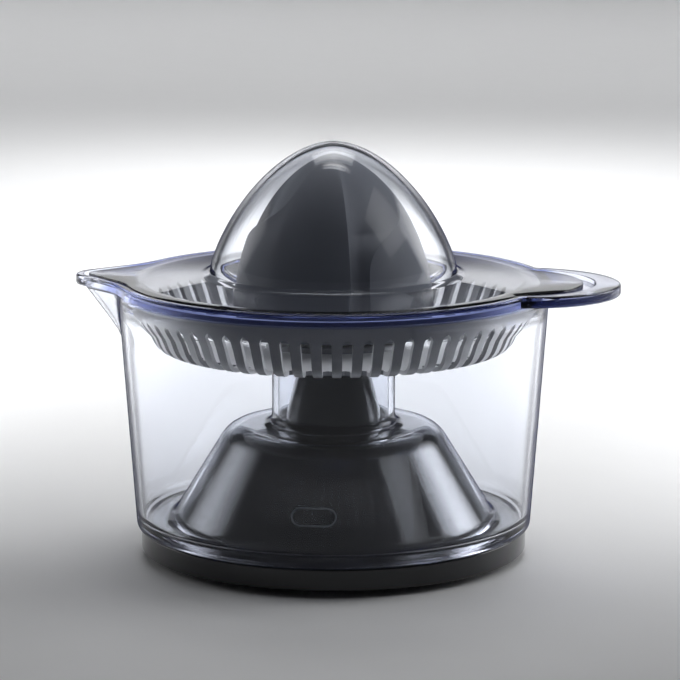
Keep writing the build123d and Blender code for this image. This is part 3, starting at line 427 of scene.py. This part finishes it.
class PRESS_OT_jug(bpy.types.Operator):
    """Builds the clear jug with its spout, handle tab, cone and chimney"""
    bl_idname = "press.jug"
    bl_label = "Jug"

    def execute(self, context):
        jug = context.scene.press_jug

        def wall_at(z):
            share = (z - jug.bottom) / (jug.rim - jug.bottom)
            return jug.foot_radius + share * (jug.rim_radius - jug.foot_radius)

        lean = (jug.spout_reach - wall_at(jug.rim - jug.spout_drop)) / jug.spout_drop
        spout_turn, spout_turn_in = radians(20), radians(18.4)
        spout_root, spout_lift = jug.rim_radius - mm, 0.8 * mm
        tab_centre, tab_border = jug.tab_reach - jug.tab_radius, 4.5 * mm
        levels = [jug.rim - jug.spout_drop * k / 7 for k in range(10, 0, -1)]
        under, seat = jug.rim - 3.8 * mm, jug.rim - 1.8 * mm
        ledge, below_ledge = jug.rim - 4.5 * mm, jug.rim - 5.8 * mm
        lid_radius, flange_radius, ledge_radius = 75.6 * mm, 74.6 * mm, 73.2 * mm
        cone_in, cone_out, chimney_wall = 0.9 * mm, 3.1 * mm, 2 * mm

        def section(turn):
            spout_out = wedge_reach(turn, jug.spout_reach, spout_turn, spout_root, jug.spout_round)
            spout_in = wedge_reach(turn, jug.spout_reach - jug.wall, spout_turn_in, spout_root,
                                   jug.spout_round - jug.wall)
            tab = disc_reach(turn, tab_centre, jug.tab_radius)
            pocket = disc_reach(turn, tab_centre - tab_border, jug.tab_radius - tab_border)

            def outside(z):
                return soft_max(wall_at(z), spout_out - lean * (jug.rim - z), 4 * mm)

            def inside(z, radius):
                return soft_max(radius, spout_in - lean * (jug.rim + spout_lift - z), 2.5 * mm)

            edge = max(outside(jug.rim), soft_max(jug.rim_radius, tab, 2 * mm))
            recess = max(inside(jug.rim, lid_radius), soft_max(lid_radius, pocket, 1 * mm))
            recess = min(recess, edge - 1.2 * mm)
            step = min(inside(seat, flange_radius), recess - 0.3 * mm)
            corners = [
                (cone_radius(jug.bottom) + cone_in, jug.bottom, 0),
                (jug.foot_radius, jug.bottom, 2.0 * mm),
            ]
            corners += [(outside(z), z, 0) for z in levels if z < under - 2 * mm]
            corners += [
                (outside(under), under, 0.3 * mm),
                (max(edge, outside(under)), under + 0.02 * mm, 0.9 * mm),
                (edge, jug.rim, 0.9 * mm),
                (recess, jug.rim, 0.5 * mm),
                (recess, seat, 0.2 * mm),
                (step, seat, 0.2 * mm),
                (step, ledge, 0.2 * mm),
                (inside(ledge, ledge_radius), ledge, 0.3 * mm),
                (inside(below_ledge, ledge_radius), below_ledge, 0.5 * mm),
            ]
            corners += [(inside(z, wall_at(z) - jug.wall), z, 0) for z in reversed(levels) if z < jug.rim - 8 * mm]
            corners += [
                (wall_at(jug.floor) - jug.wall, jug.floor, 4.0 * mm),
                (cone_radius(jug.floor) + cone_out, jug.floor, 3.0 * mm),
                (cone_radius(jug.shoulder) + cone_out, jug.shoulder, 6.0 * mm),
                (jug.chimney_radius, jug.shoulder, 4.0 * mm),
                (jug.chimney_radius, jug.chimney_top, 0.8 * mm),
                (jug.chimney_radius - chimney_wall, jug.chimney_top, 0.8 * mm),
                (jug.chimney_radius - chimney_wall, jug.shoulder - chimney_wall, 2.0 * mm),
                (cone_radius(jug.shoulder - chimney_wall) + cone_in, jug.shoulder - chimney_wall, 5.0 * mm),
            ]
            return rounded(corners)

        material = clear_plastic_with_painted_edges("clear jug plastic with painted edge shade", list(jug.colour), list(jug.deep_tint_and_edge_shade_colour), ledge)
        piece = turned_piece("clear_jug", section, material)
        piece.visible_shadow = False
        settle(piece, "jug", "clear", "jug")
        return {"FINISHED"}


class PRESS_OT_lid(bpy.types.Operator):
    """Builds the clear domed lid with its two tongues"""
    bl_idname = "press.lid"
    bl_label = "Lid"

    def execute(self, context):
        lid = context.scene.press_lid
        jug = context.scene.press_jug
        bottom = jug.rim - 1.78 * mm
        tongue_radius = 29 * mm
        flap_turn, flap_root, flap_round = radians(16.5), 75.6 * mm, 6.0 * mm
        brim_over, brim_under = 69.5 * mm, 68.5 * mm
        no_band = 1.0  # a height well above the lid
        dome_steps = 40

        def dome(radius, height):
            points = []
            for k in range(dome_steps):
                share = 1 - (k / dome_steps) ** 2
                points.append(Vector((radius * (1 - share ** 1.35) ** 0.55, lid.dome_foot + share * height)))
            return points

        outer = dome(lid.dome_radius, lid.dome_height)
        inner = dome(lid.dome_radius - lid.wall, lid.dome_height - lid.wall)

        def section(turn):
            tongue = disc_reach(turn, lid.tongue_reach - tongue_radius, tongue_radius)
            flap = wedge_reach(turn, lid.tongue_reach, flap_turn, flap_root, flap_round)
            edge = max(lid.edge_radius, soft_max(lid.edge_radius, tongue, 2 * mm),
                       soft_max(lid.edge_radius, flap, 2 * mm))
            brim = [
                (lid.dome_radius + 0.1 * mm, lid.dome_foot + 0.6 * mm, 0.5 * mm),
                (lid.dome_radius + 2.6 * mm, lid.dome_foot - 0.6 * mm, 1.6 * mm),
                (brim_over, jug.rim + 0.1 * mm, 0.6 * mm),
                (edge, jug.rim, 0.5 * mm),
                (edge, bottom, 0.4 * mm),
                (brim_under, bottom, 0.6 * mm),
                (lid.dome_radius + 1.8 * mm, lid.dome_foot - lid.wall - 0.5 * mm, 1.5 * mm),
                (lid.dome_radius - lid.wall - 0.05 * mm, lid.dome_foot - 0.6 * mm, 0.8 * mm),
            ]
            return outer + rounded(brim) + list(reversed(inner))

        material = clear_plastic_with_painted_edges("clear lid plastic with painted edge shade", list(jug.colour), list(jug.deep_tint_and_edge_shade_colour), no_band)
        piece = turned_piece("clear_lid", section, material, closed=False)
        piece.visible_shadow = False
        settle(piece, "lid", "clear", "lid")
        return {"FINISHED"}


def slotted_sector(sizes):
    """Points and faces of one slot of the strainer with half a bar on either side."""
    half = sizes.wall / 2
    hub = 22.7 * mm + half
    hub_top, hub_hole = 82.7 * mm, 10.5 * mm
    slot_top = sizes.seat + 1.6 * mm - 8.4 * mm
    slot_end = sizes.floor_radius - 8.5 * mm
    grid, long_run = 1.1 * mm, 3 * mm
    middle = [
        (sizes.flange_radius, sizes.seat + half, 0),
        (sizes.top_radius - half, sizes.seat + half, 1.2 * mm),
        (sizes.floor_radius - half * 0.6, sizes.floor + half, 5.0 * mm),
        (hub, sizes.floor + half, 2.4 * mm),
        (hub, hub_top, 1.6 * mm),
        (hub_hole, hub_top, 0),
    ]
    line = rounded(middle, 6)
    path = [line[0]]
    for a, b in zip(line, line[1:]):
        run = (b - a).length
        pieces = max(1, int(run / grid)) if run > long_run else 1
        path += [a.lerp(b, (k + 1) / pieces) for k in range(pieces)]
    rows = []
    for k, p in enumerate(path):
        before = path[max(k - 1, 0)]
        after = path[min(k + 1, len(path) - 1)]
        along = (after - before).normalized()
        normal = Vector((-along.y, along.x))
        if p.x > slot_end:
            drop = (p.y - slot_top) / (sizes.slot_width / 2)
            open_half = sizes.slot_width / 2 * sqrt(1 - min(max(drop, 0), 1) ** 2)
        else:
            open_half = 0.0
        rows.append((p + normal * half, p - normal * half, open_half))
    limit = pi / sizes.slots
    points = []
    for side in (0, 1):
        for outer, inner, open_half in rows:
            p = (outer, inner)[side]
            edge = asin(min(open_half / p.x, 0.9))
            turns = [-limit, -(limit + edge) / 2, -edge, edge, (limit + edge) / 2, limit]
            points += [(p.x * cos(t), p.x * sin(t), p.y) for t in turns]
    count = len(rows)
    columns, slot = len(turns), 2  # the slot's own column is left out where it is open
    faces = []

    def at(side, row, column):
        return (side * count + row) * columns + column

    for row in range(count - 1):
        is_open = rows[row][2] > 0 or rows[row + 1][2] > 0
        for column in range(columns - 1):
            if column == slot and is_open:
                continue
            next_row, next_column = row + 1, column + 1
            faces.append((at(0, row, column), at(0, row, next_column),
                          at(0, next_row, next_column), at(0, next_row, column)))
            faces.append((at(1, row, next_column), at(1, row, column),
                          at(1, next_row, column), at(1, next_row, next_column)))
        if is_open:
            near, far = slot, slot + 1
            faces.append((at(0, row, near), at(0, row + 1, near), at(1, row + 1, near), at(1, row, near)))
            faces.append((at(0, row + 1, far), at(0, row, far), at(1, row, far), at(1, row + 1, far)))
    for row, turn in ((0, False), (count - 1, True)):
        for column in range(columns - 1):
            quad = (at(0, row, column), at(1, row, column), at(1, row, column + 1), at(0, row, column + 1))
            faces.append(tuple(reversed(quad)) if turn else quad)
    last = max(k for k in range(count) if rows[k][2] > 0)
    if last + 1 < count:
        end = last + 1
        faces.append((at(0, end, slot), at(1, end, slot), at(1, end, slot + 1), at(0, end, slot + 1)))
    return points, faces


def ring_of(sector, count, material):
    """Geometry node tree that sets copies of a sector round the axis and joins them."""
    tree = bpy.data.node_groups.new("strainer ring", "GeometryNodeTree")
    tree.interface.new_socket("Geometry", in_out="INPUT", socket_type="NodeSocketGeometry")
    copies = tree.interface.new_socket("Copies", in_out="INPUT", socket_type="NodeSocketInt")
    cover = tree.interface.new_socket("Material", in_out="INPUT", socket_type="NodeSocketMaterial")
    tree.interface.new_socket("Geometry", in_out="OUTPUT", socket_type="NodeSocketGeometry")

    def add(kind, **settings):
        node = tree.nodes.new(kind)
        for key, value in settings.items():
            setattr(node, key, value)
        return node

    given = add("NodeGroupInput")
    result = add("NodeGroupOutput")
    line = add("GeometryNodeMeshLine", mode="OFFSET")
    line.inputs["Offset"].default_value = (0, 0, 0)
    index = add("GeometryNodeInputIndex")
    step = add("ShaderNodeMath", operation="DIVIDE")
    step.inputs[0].default_value = 2 * pi
    angle = add("ShaderNodeMath", operation="MULTIPLY")
    turn = add("ShaderNodeCombineXYZ")
    place = add("GeometryNodeInstanceOnPoints")
    real = add("GeometryNodeRealizeInstances")
    join = add("GeometryNodeMergeByDistance")
    join.inputs["Distance"].default_value = 0.000004
    paint = add("GeometryNodeSetMaterial")
    links = [
        (given.outputs["Copies"], line.inputs["Count"]),
        (given.outputs["Copies"], step.inputs[1]),
        (step.outputs[0], angle.inputs[0]),
        (index.outputs[0], angle.inputs[1]),
        (angle.outputs[0], turn.inputs["Z"]),
        (line.outputs["Mesh"], place.inputs["Points"]),
        (given.outputs["Geometry"], place.inputs["Instance"]),
        (turn.outputs[0], place.inputs["Rotation"]),
        (place.outputs[0], real.inputs[0]),
        (real.outputs[0], join.inputs["Geometry"]),
        (join.outputs[0], paint.inputs["Geometry"]),
        (given.outputs["Material"], paint.inputs["Material"]),
        (paint.outputs[0], result.inputs[0]),
    ]
    for a, b in links:
        tree.links.new(a, b)
    modifier = sector.modifiers.new("ring", "NODES")
    modifier.node_group = tree
    modifier[copies.identifier] = count
    modifier[cover.identifier] = material
    context = bpy.context
    context.view_layer.update()
    mesh = bpy.data.meshes.new_from_object(sector.evaluated_get(context.evaluated_depsgraph_get()))
    sector.modifiers.remove(modifier)
    old = sector.data
    sector.data = mesh
    bpy.data.meshes.remove(old)
    mesh.shade_smooth()
    mesh.set_sharp_from_angle(angle=radians(32))


class PRESS_OT_strainer(bpy.types.Operator):
    """Builds the slotted strainer from one slot set round the axis"""
    bl_idname = "press.strainer"
    bl_label = "Strainer"

    def execute(self, context):
        sizes = context.scene.press_strainer
        material = finish("strainer plastic", list(sizes.colour),
                          {"IOR": 1.5, "Coat Weight": 0.6, "Coat Roughness": 0.12}, 0.3)
        tree = material.node_tree
        colour = tree.nodes["Principled BSDF"].inputs["Base Color"]
        wire = Wire(tree)
        tone = Wire(tree, colour.links[0].from_socket)
        # painted sheen: the base colour goes over into pale grey where the strainer is seen edge on, standing in for
        # light reflected at its sides; the plastic itself is dark grey
        painted_sheen = wire.ease(wire.facing(), 0.15, 0.6)
        painted_sheen_colour = [0.86, 0.87, 0.89, 1.0]
        tree.links.new(wire.blend(painted_sheen, tone, painted_sheen_colour).socket, colour)
        points, faces = slotted_sector(sizes)
        piece = mesh_piece("slotted_strainer", points, faces, material)
        ring_of(piece, sizes.slots, material)
        settle(piece, "jug", "strainer_grey", "strainer")
        return {"FINISHED"}


class PRESS_OT_reamer(bpy.types.Operator):
    """Builds the reamer cone with its wings, scoops and petals"""
    bl_idname = "press.reamer"
    bl_label = "Reamer"

    def execute(self, context):
        sizes = context.scene.press_reamer
        wing_turn, narrow_turn = radians(50), radians(11)
        widening_level, widening_run = 122 * mm, 7 * mm
        fade_level, fade_run = sizes.apex - 1.5 * mm, 26 * mm
        petal_hollow, wing_hollow = 0.5 * mm, 0.7 * mm
        shell, shell_lift, bore = 9.0 * mm, 3.4 * mm, 9 * mm
        gap = 2 * pi / sizes.wings - wing_turn
        rows = 130

        def envelope(z):
            share = min(max((z - sizes.bottom) / (sizes.apex - sizes.bottom), 0), 1)
            return sizes.radius * (1 - share ** 2.1) ** 0.63

        def spread(z):
            return narrow_turn + (gap - narrow_turn) * (0.5 + 0.5 * tanh((z - widening_level) / widening_run))

        def scoop(u):
            return sin(pi * u ** 0.75) ** 0.9

        heights = [sizes.bottom + (sizes.apex - sizes.bottom) * (1 - (1 - k / rows) ** 1.7) for k in range(rows + 1)]
        flute_steps, petal_steps, wing_steps = 22, 18, 18
        points = []
        for z in heights:
            radius = envelope(z)
            run = min(max((fade_level - z) / fade_run, 0), 1) ** 0.8
            width = spread(z)
            depth = min(sizes.flute_depth * run, 0.32 * width * radius)
            for wing in range(sizes.wings):
                edge = sizes.edge_turn + 2 * pi * wing / sizes.wings
                for k in range(flute_steps):
                    u = k / flute_steps
                    r = radius - depth * scoop(u)
                    points.append((r * cos(edge + u * width), r * sin(edge + u * width), z))
                for k in range(petal_steps):
                    v = k / petal_steps
                    turn = edge + width + (gap - width) * v
                    r = radius - petal_hollow * run * sin(pi * v) * min((gap - width) / gap * 2, 1)
                    points.append((r * cos(turn), r * sin(turn), z))
                for k in range(wing_steps):
                    v = k / wing_steps
                    turn = edge + gap + wing_turn * v
                    r = radius - wing_hollow * run * sin(pi * v)
                    points.append((r * cos(turn), r * sin(turn), z))
        ring = sizes.wings * (flute_steps + petal_steps + wing_steps)
        inner = []
        for rise in (0, 6, 18, 30, 38):
            z = sizes.bottom + rise * mm
            inner.append((max(envelope(z + shell_lift) - shell, bore), z))
        start = len(points)
        for r, z in inner:
            for k in range(ring):
                turn = 2 * pi * k / ring + sizes.edge_turn
                points.append((r * cos(turn), r * sin(turn), z))
        faces = ring_faces(len(heights), ring) + ring_faces(len(inner), ring, start=start)
        for k in range(ring):
            n = (k + 1) % ring
            faces.append((k, start + k, start + n, n))
        top = start + (len(inner) - 1) * ring
        faces.append(tuple(top + k for k in range(ring)))
        material = finish("reamer plastic", list(sizes.colour), {"IOR": 1.45, "Specular IOR Level": 0.35}, 0.55,
                          spread=0.08, grain=1400.0, bump=0.3, bump_depth=0.00005)
        piece = mesh_piece("reamer_cone", points, faces, material, 28.0)
        settle(piece, "reamer", "reamer_grey", "reamer")
        return {"FINISHED"}


def badge_outline(base, material):
    """The bare stadium outline moulded on the front of the cone."""
    steps, sides, flatness = 96, 8, 0.7
    probe = 0.01 * mm
    half = (base.badge_length - base.badge_height) / 2
    ease = base.badge_height / 2
    lean = atan2(base.cone_radius - base.top_radius, base.top - base.plinth_top)
    straight, bend = 2 * half, pi * ease
    around = 2 * (straight + bend)

    def stadium(run):
        run %= around
        for turn, sign in ((0.0, 1), (pi, -1)):
            if run < bend:
                a = turn - pi / 2 + run / ease
                return sign * half + ease * cos(a), ease * sin(a)
            run -= bend
            if run < straight:
                return sign * (half - run), sign * ease
            run -= straight
        return half, -ease

    def on_cone(run, out):
        u, v = stadium(run)
        z = base.badge_level + v * cos(lean)
        radius = cone_radius(z)
        turn = -pi / 2 + u / radius
        reach = radius + out * cos(lean)
        return Vector((reach * cos(turn), reach * sin(turn), z + out * sin(lean)))

    points = []
    for k in range(steps):
        run = around * k / steps
        here = on_cone(run, 0)
        along = (on_cone(run + probe, 0) - on_cone(run - probe, 0)).normalized()
        out = (on_cone(run, mm) - here).normalized()
        across = along.cross(out)
        for side in range(sides):
            a = 2 * pi * side / sides
            points.append(here + base.badge_line * (across * cos(a) + out * sin(a) * flatness))
    return mesh_piece("badge_outline", points, ring_faces(steps, sides, joined=True), material, 60.0)


class PRESS_OT_base(bpy.types.Operator):
    """Builds the dark motor base with its cone and neck"""
    bl_idname = "press.base"
    bl_label = "Motor base"

    def execute(self, context):
        base = context.scene.press_base
        underside, plate_radius, ceiling = 2.6 * mm, 67.5 * mm, 8.1 * mm
        seal_radius, hole_radius, bush_radius = 8.4 * mm, 5.7 * mm, 9.5 * mm
        seal_floor, bush_roof, bush_floor, roof = 67.6 * mm, 66.4 * mm, 63.9 * mm, 42.8 * mm
        neck_bend, neck_inside = 70 * mm, 16.3 * mm
        cone_inside_top, cone_inside_foot = 35.1 * mm, 56.5 * mm

        def section(turn):
            return rounded([
                (plate_radius, underside, 0),
                (base.plinth_radius, underside, 0.8 * mm),
                (base.plinth_radius, base.plinth_top, 0.8 * mm),
                (base.cone_radius, base.plinth_top, 0.3 * mm),
                (base.top_radius, base.top, 5.0 * mm),
                (base.neck_foot, base.top, 1.5 * mm),
                (base.neck_radius + 0.4 * mm, neck_bend, 6.0 * mm),
                (base.neck_radius, base.neck_top, 0.8 * mm),
                (seal_radius, base.neck_top, 0.2 * mm),
                (seal_radius, seal_floor, 0),
                (hole_radius, seal_floor, 0),
                (hole_radius, bush_roof, 0),
                (bush_radius, bush_roof, 0),
                (bush_radius, bush_floor, 1.0 * mm),
                (neck_inside, roof, 1.0 * mm),
                (cone_inside_top, roof, 2.0 * mm),
                (cone_inside_foot, ceiling, 1.0 * mm),
                (plate_radius, ceiling, 0.5 * mm),
            ])

        gloss = {"IOR": 1.5, "Specular IOR Level": 0.4, "Coat Weight": 0.3, "Coat Roughness": 0.03}
        material = finish("base plastic", list(base.colour), gloss, 0.16,
                          spread=0.05, grain=500.0, bump=0.04, bump_depth=0.00003)
        piece = turned_piece("motor_base", section, material, turns=300)
        settle(piece, "base", "base_dark", "base_housing")
        line = finish("badge line plastic", [0.16, 0.17, 0.19], {"IOR": 1.5}, 0.22)
        outline = badge_outline(base, line)
        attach(outline, "base")
        return {"FINISHED"}


class PRESS_OT_inner(bpy.types.Operator):
    """Gives the inner parts, the plate and the feet their finishes"""
    bl_idname = "press.inner"
    bl_label = "Inner parts"

    def execute(self, context):
        record = frame["record"]
        slots = {entry["node"]: entry["material_slot"] for entry in record["subparts"]}
        colours = {entry["slot"]: entry["base_color"][:3] for entry in record["materials"]}
        looks = {
            "steel": {"rough": 0.28, "grain": 260.0, "stretch": (1.0, 1.0, 16.0), "shade": 0.1},
            "core_steel": {"rough": 0.45, "lines": ("Z", 630.0), "bump": 0.5, "shade": 0.3},
            "copper": {"rough": 0.3, "lines": ("X", 800.0), "bump": 0.7, "bump_depth": 0.0001, "shade": 0.3},
            "bronze": {"rough": 0.42, "grain": 2600.0, "bump": 0.35},
            "spring_steel": {"rough": 0.3, "grain": 260.0, "stretch": (16.0, 1.0, 1.0), "shade": 0.1},
            "rubber": {"rough": 0.85, "grain": 2400.0, "bump": 0.5, "shade": 0.25},
            "plate_dark": {"rough": 0.55, "grain": 1700.0, "bump": 0.35, "shade": 0.2},
            "magnet": {"rough": 0.7, "grain": 1900.0, "bump": 0.4, "shade": 0.25},
            "gear_plastic": {"rough": 0.36, "grain": 700.0, "bump": 0.1, "shade": 0.05},
            "frame_plastic": {"rough": 0.46, "grain": 1100.0, "bump": 0.2, "shade": 0.06},
        }
        metals = ("steel", "core_steel", "copper", "bronze", "spring_steel")
        made = {}
        for node, piece in frame["nodes"].items():
            slot = slots[node]
            if slot not in made:
                made[slot] = finish(slot.replace("_", " ") + " finish", colours[slot],
                                    {"Metallic": 1.0 if slot in metals else 0.0}, **looks.get(slot, {"rough": 0.5}))
            piece.data.materials.clear()
            piece.data.materials.append(made[slot])
        return {"FINISHED"}


class PRESS_OT_spring(bpy.types.Operator):
    """Winds the return spring at one length, though in the press it shortens as the reamer is pressed"""
    bl_idname = "press.spring"
    bl_label = "Return spring"

    def execute(self, context):
        spring = context.scene.press_spring
        low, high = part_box("return_spring")
        half = spring.wire / 2
        rise = high.z - low.z - spring.wire
        steps, sides = 48 * spring.turns, 12
        up = Vector((0, 0, 1))
        points = []
        for k in range(steps + 1):
            turn = 2 * pi * spring.turns * k / steps
            out = Vector((cos(turn), sin(turn), 0))
            middle = out * spring.radius + up * (low.z + half + rise * k / steps)
            for side in range(sides):
                a = 2 * pi * side / sides
                points.append(middle + (out * cos(a) + up * sin(a)) * half)
        faces = ring_faces(steps + 1, sides)
        faces.append(tuple(range(sides)))
        faces.append(tuple(reversed(range(steps * sides, (steps + 1) * sides))))
        material = finish("spring wire", [0.62, 0.63, 0.65], {"Metallic": 1.0}, 0.25,
                          grain=300.0, stretch=(1.0, 1.0, 12.0))
        piece = mesh_piece("spring_coil", points, faces, material)
        settle(piece, "output", "steel", "return_spring")
        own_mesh(piece)
        return {"FINISHED"}


class PRESS_OT_stage(bpy.types.Operator):
    """Sets the floor, the soft lights and the camera"""
    bl_idname = "press.stage"
    bl_label = "Stage"

    def execute(self, context):
        stage = context.scene.press_stage
        scene = context.scene
        ahead = Vector((-sin(stage.turn), cos(stage.turn), 0))
        side = Vector((cos(stage.turn), sin(stage.turn), 0))
        up = Vector((0, 0, 1))

        pale = finish("pale room", list(stage.floor_colour), {}, 0.7, grain=60.0, bump=0.05, shade=0.015)
        # a level floor that curves up to a low wall, wide enough for a camera on any side
        line = [(0.0, 0.0), (0.5, 0.0), (1.5, 0.0), (2.7, 0.0), (2.95, 0.04), (3.1, 0.16), (3.17, 0.4), (3.2, 0.88)]
        turns = 96
        points = []
        for reach, high in line:
            for k in range(turns):
                turn = 2 * pi * k / turns
                points.append((reach * cos(turn), reach * sin(turn), high))
        room = mesh_piece("pale_room", points, ring_faces(len(line), turns), pale, 60.0)

        def seen(place):
            """A place given sideways, ahead and up as the camera sees them."""
            return side * place[0] + ahead * place[1] + up * place[2]

        # name, place, aim, width and height in metres, power in watts, spread in degrees
        panels = [
            ("right softbox", (0.78, 0.34, 0.42), (0.0, 0.0, 0.12), 0.6, 0.6, 0.52, 50),
            ("left softbox", (-0.78, 0.34, 0.42), (0.0, 0.0, 0.12), 0.6, 0.6, 0.2, 50),
            ("high right softbox", (0.6, -0.1, 0.72), (0.0, 0.0, 0.08), 0.5, 0.4, 0.1, 60),
            ("top softbox", (0.0, 0.55, 1.0), (0.0, 0.0, 0.12), 0.6, 0.4, 0.3, 60),
            ("floor wash", (0.0, 0.66, 1.1), (0.0, 0.66, 0.0), 0.7, 0.9, 2.5, 40),
            ("right floor wash", (0.6, 0.35, 0.9), (0.6, 0.35, 0.0), 0.7, 0.8, 2.6, 30),
            ("left floor wash", (-0.6, 0.35, 0.9), (-0.6, 0.35, 0.0), 0.7, 0.8, 2.8, 30),
            ("far floor wash", (0.0, 1.7, 1.6), (0.0, 1.7, 0.0), 2.8, 1.8, 8.5, 60),
            ("back wash", (0.0, 2.2, 1.5), (0.0, 3.18, 0.62), 2.0, 0.2, 6.0, 60),
        ]
        for name, place, aim, wide, tall, power, spread in panels:
            light = bpy.data.lights.new(name, "AREA")
            light.shape = "RECTANGLE"
            light.size, light.size_y = wide, tall
            light.energy = power
            light.spread = radians(spread)
            lamp = bpy.data.objects.new(name, light)
            scene.collection.objects.link(lamp)
            lamp.visible_camera = False
            lamp.location = seen(place)
            lamp.rotation_euler = (seen(aim) - lamp.location).to_track_quat("-Z", "Y").to_euler()

        world = bpy.data.worlds.new("studio")
        scene.world = world
        world.use_nodes = True
        sky = world.node_tree.nodes["Background"]
        sky.inputs["Color"].default_value = (0.9, 0.93, 1.0, 1)
        sky.inputs["Strength"].default_value = 0.04

        camera = bpy.data.cameras.new("camera")
        camera.lens = stage.lens
        camera.sensor_width = 36.0
        camera.shift_x = stage.shift
        camera.clip_start, camera.clip_end = 0.05, 20.0
        eye = bpy.data.objects.new("camera", camera)
        scene.collection.objects.link(eye)
        eye.location = ahead * -stage.distance + up * stage.height
        look = up * stage.target - eye.location
        eye.rotation_euler = look.to_track_quat("-Z", "Y").to_euler()
        scene.camera = eye
        scene.view_settings.view_transform = "Standard"
        return {"FINISHED"}


class PRESS_PT_panel(bpy.types.Panel):
    """Lists the pieces of the press"""
    bl_idname = "PRESS_PT_panel"
    bl_label = "Citrus Press"
    bl_space_type = "VIEW_3D"
    bl_region_type = "UI"
    bl_category = "Citrus Press"

    def draw(self, context):
        for maker in makers:
            self.layout.operator(maker.bl_idname)


groups = {
    "press_jug": JugSizes,
    "press_lid": LidSizes,
    "press_strainer": StrainerSizes,
    "press_reamer": ReamerSizes,
    "press_base": BaseSizes,
    "press_spring": SpringSizes,
    "press_stage": StageSizes,
}
makers = (PRESS_OT_inner, PRESS_OT_spring, PRESS_OT_base, PRESS_OT_jug, PRESS_OT_strainer, PRESS_OT_reamer,
          PRESS_OT_lid, PRESS_OT_stage)


def register():
    for name, group in groups.items():
        bpy.utils.register_class(group)
        setattr(bpy.types.Scene, name, PointerProperty(type=group))
    for maker in makers:
        bpy.utils.register_class(maker)
    bpy.utils.register_class(PRESS_PT_panel)


def unregister():
    bpy.utils.unregister_class(PRESS_PT_panel)
    for maker in reversed(makers):
        bpy.utils.unregister_class(maker)
    for name, group in reversed(list(groups.items())):
        delattr(bpy.types.Scene, name)
        bpy.utils.unregister_class(group)


def main():
    register()
    bpy.ops.press.inner()
    bpy.ops.press.spring()
    bpy.ops.press.base()
    bpy.ops.press.jug()
    bpy.ops.press.strainer()
    bpy.ops.press.reamer()
    bpy.ops.press.lid()
    bpy.ops.press.stage()


if __name__ == "__main__":
    main()
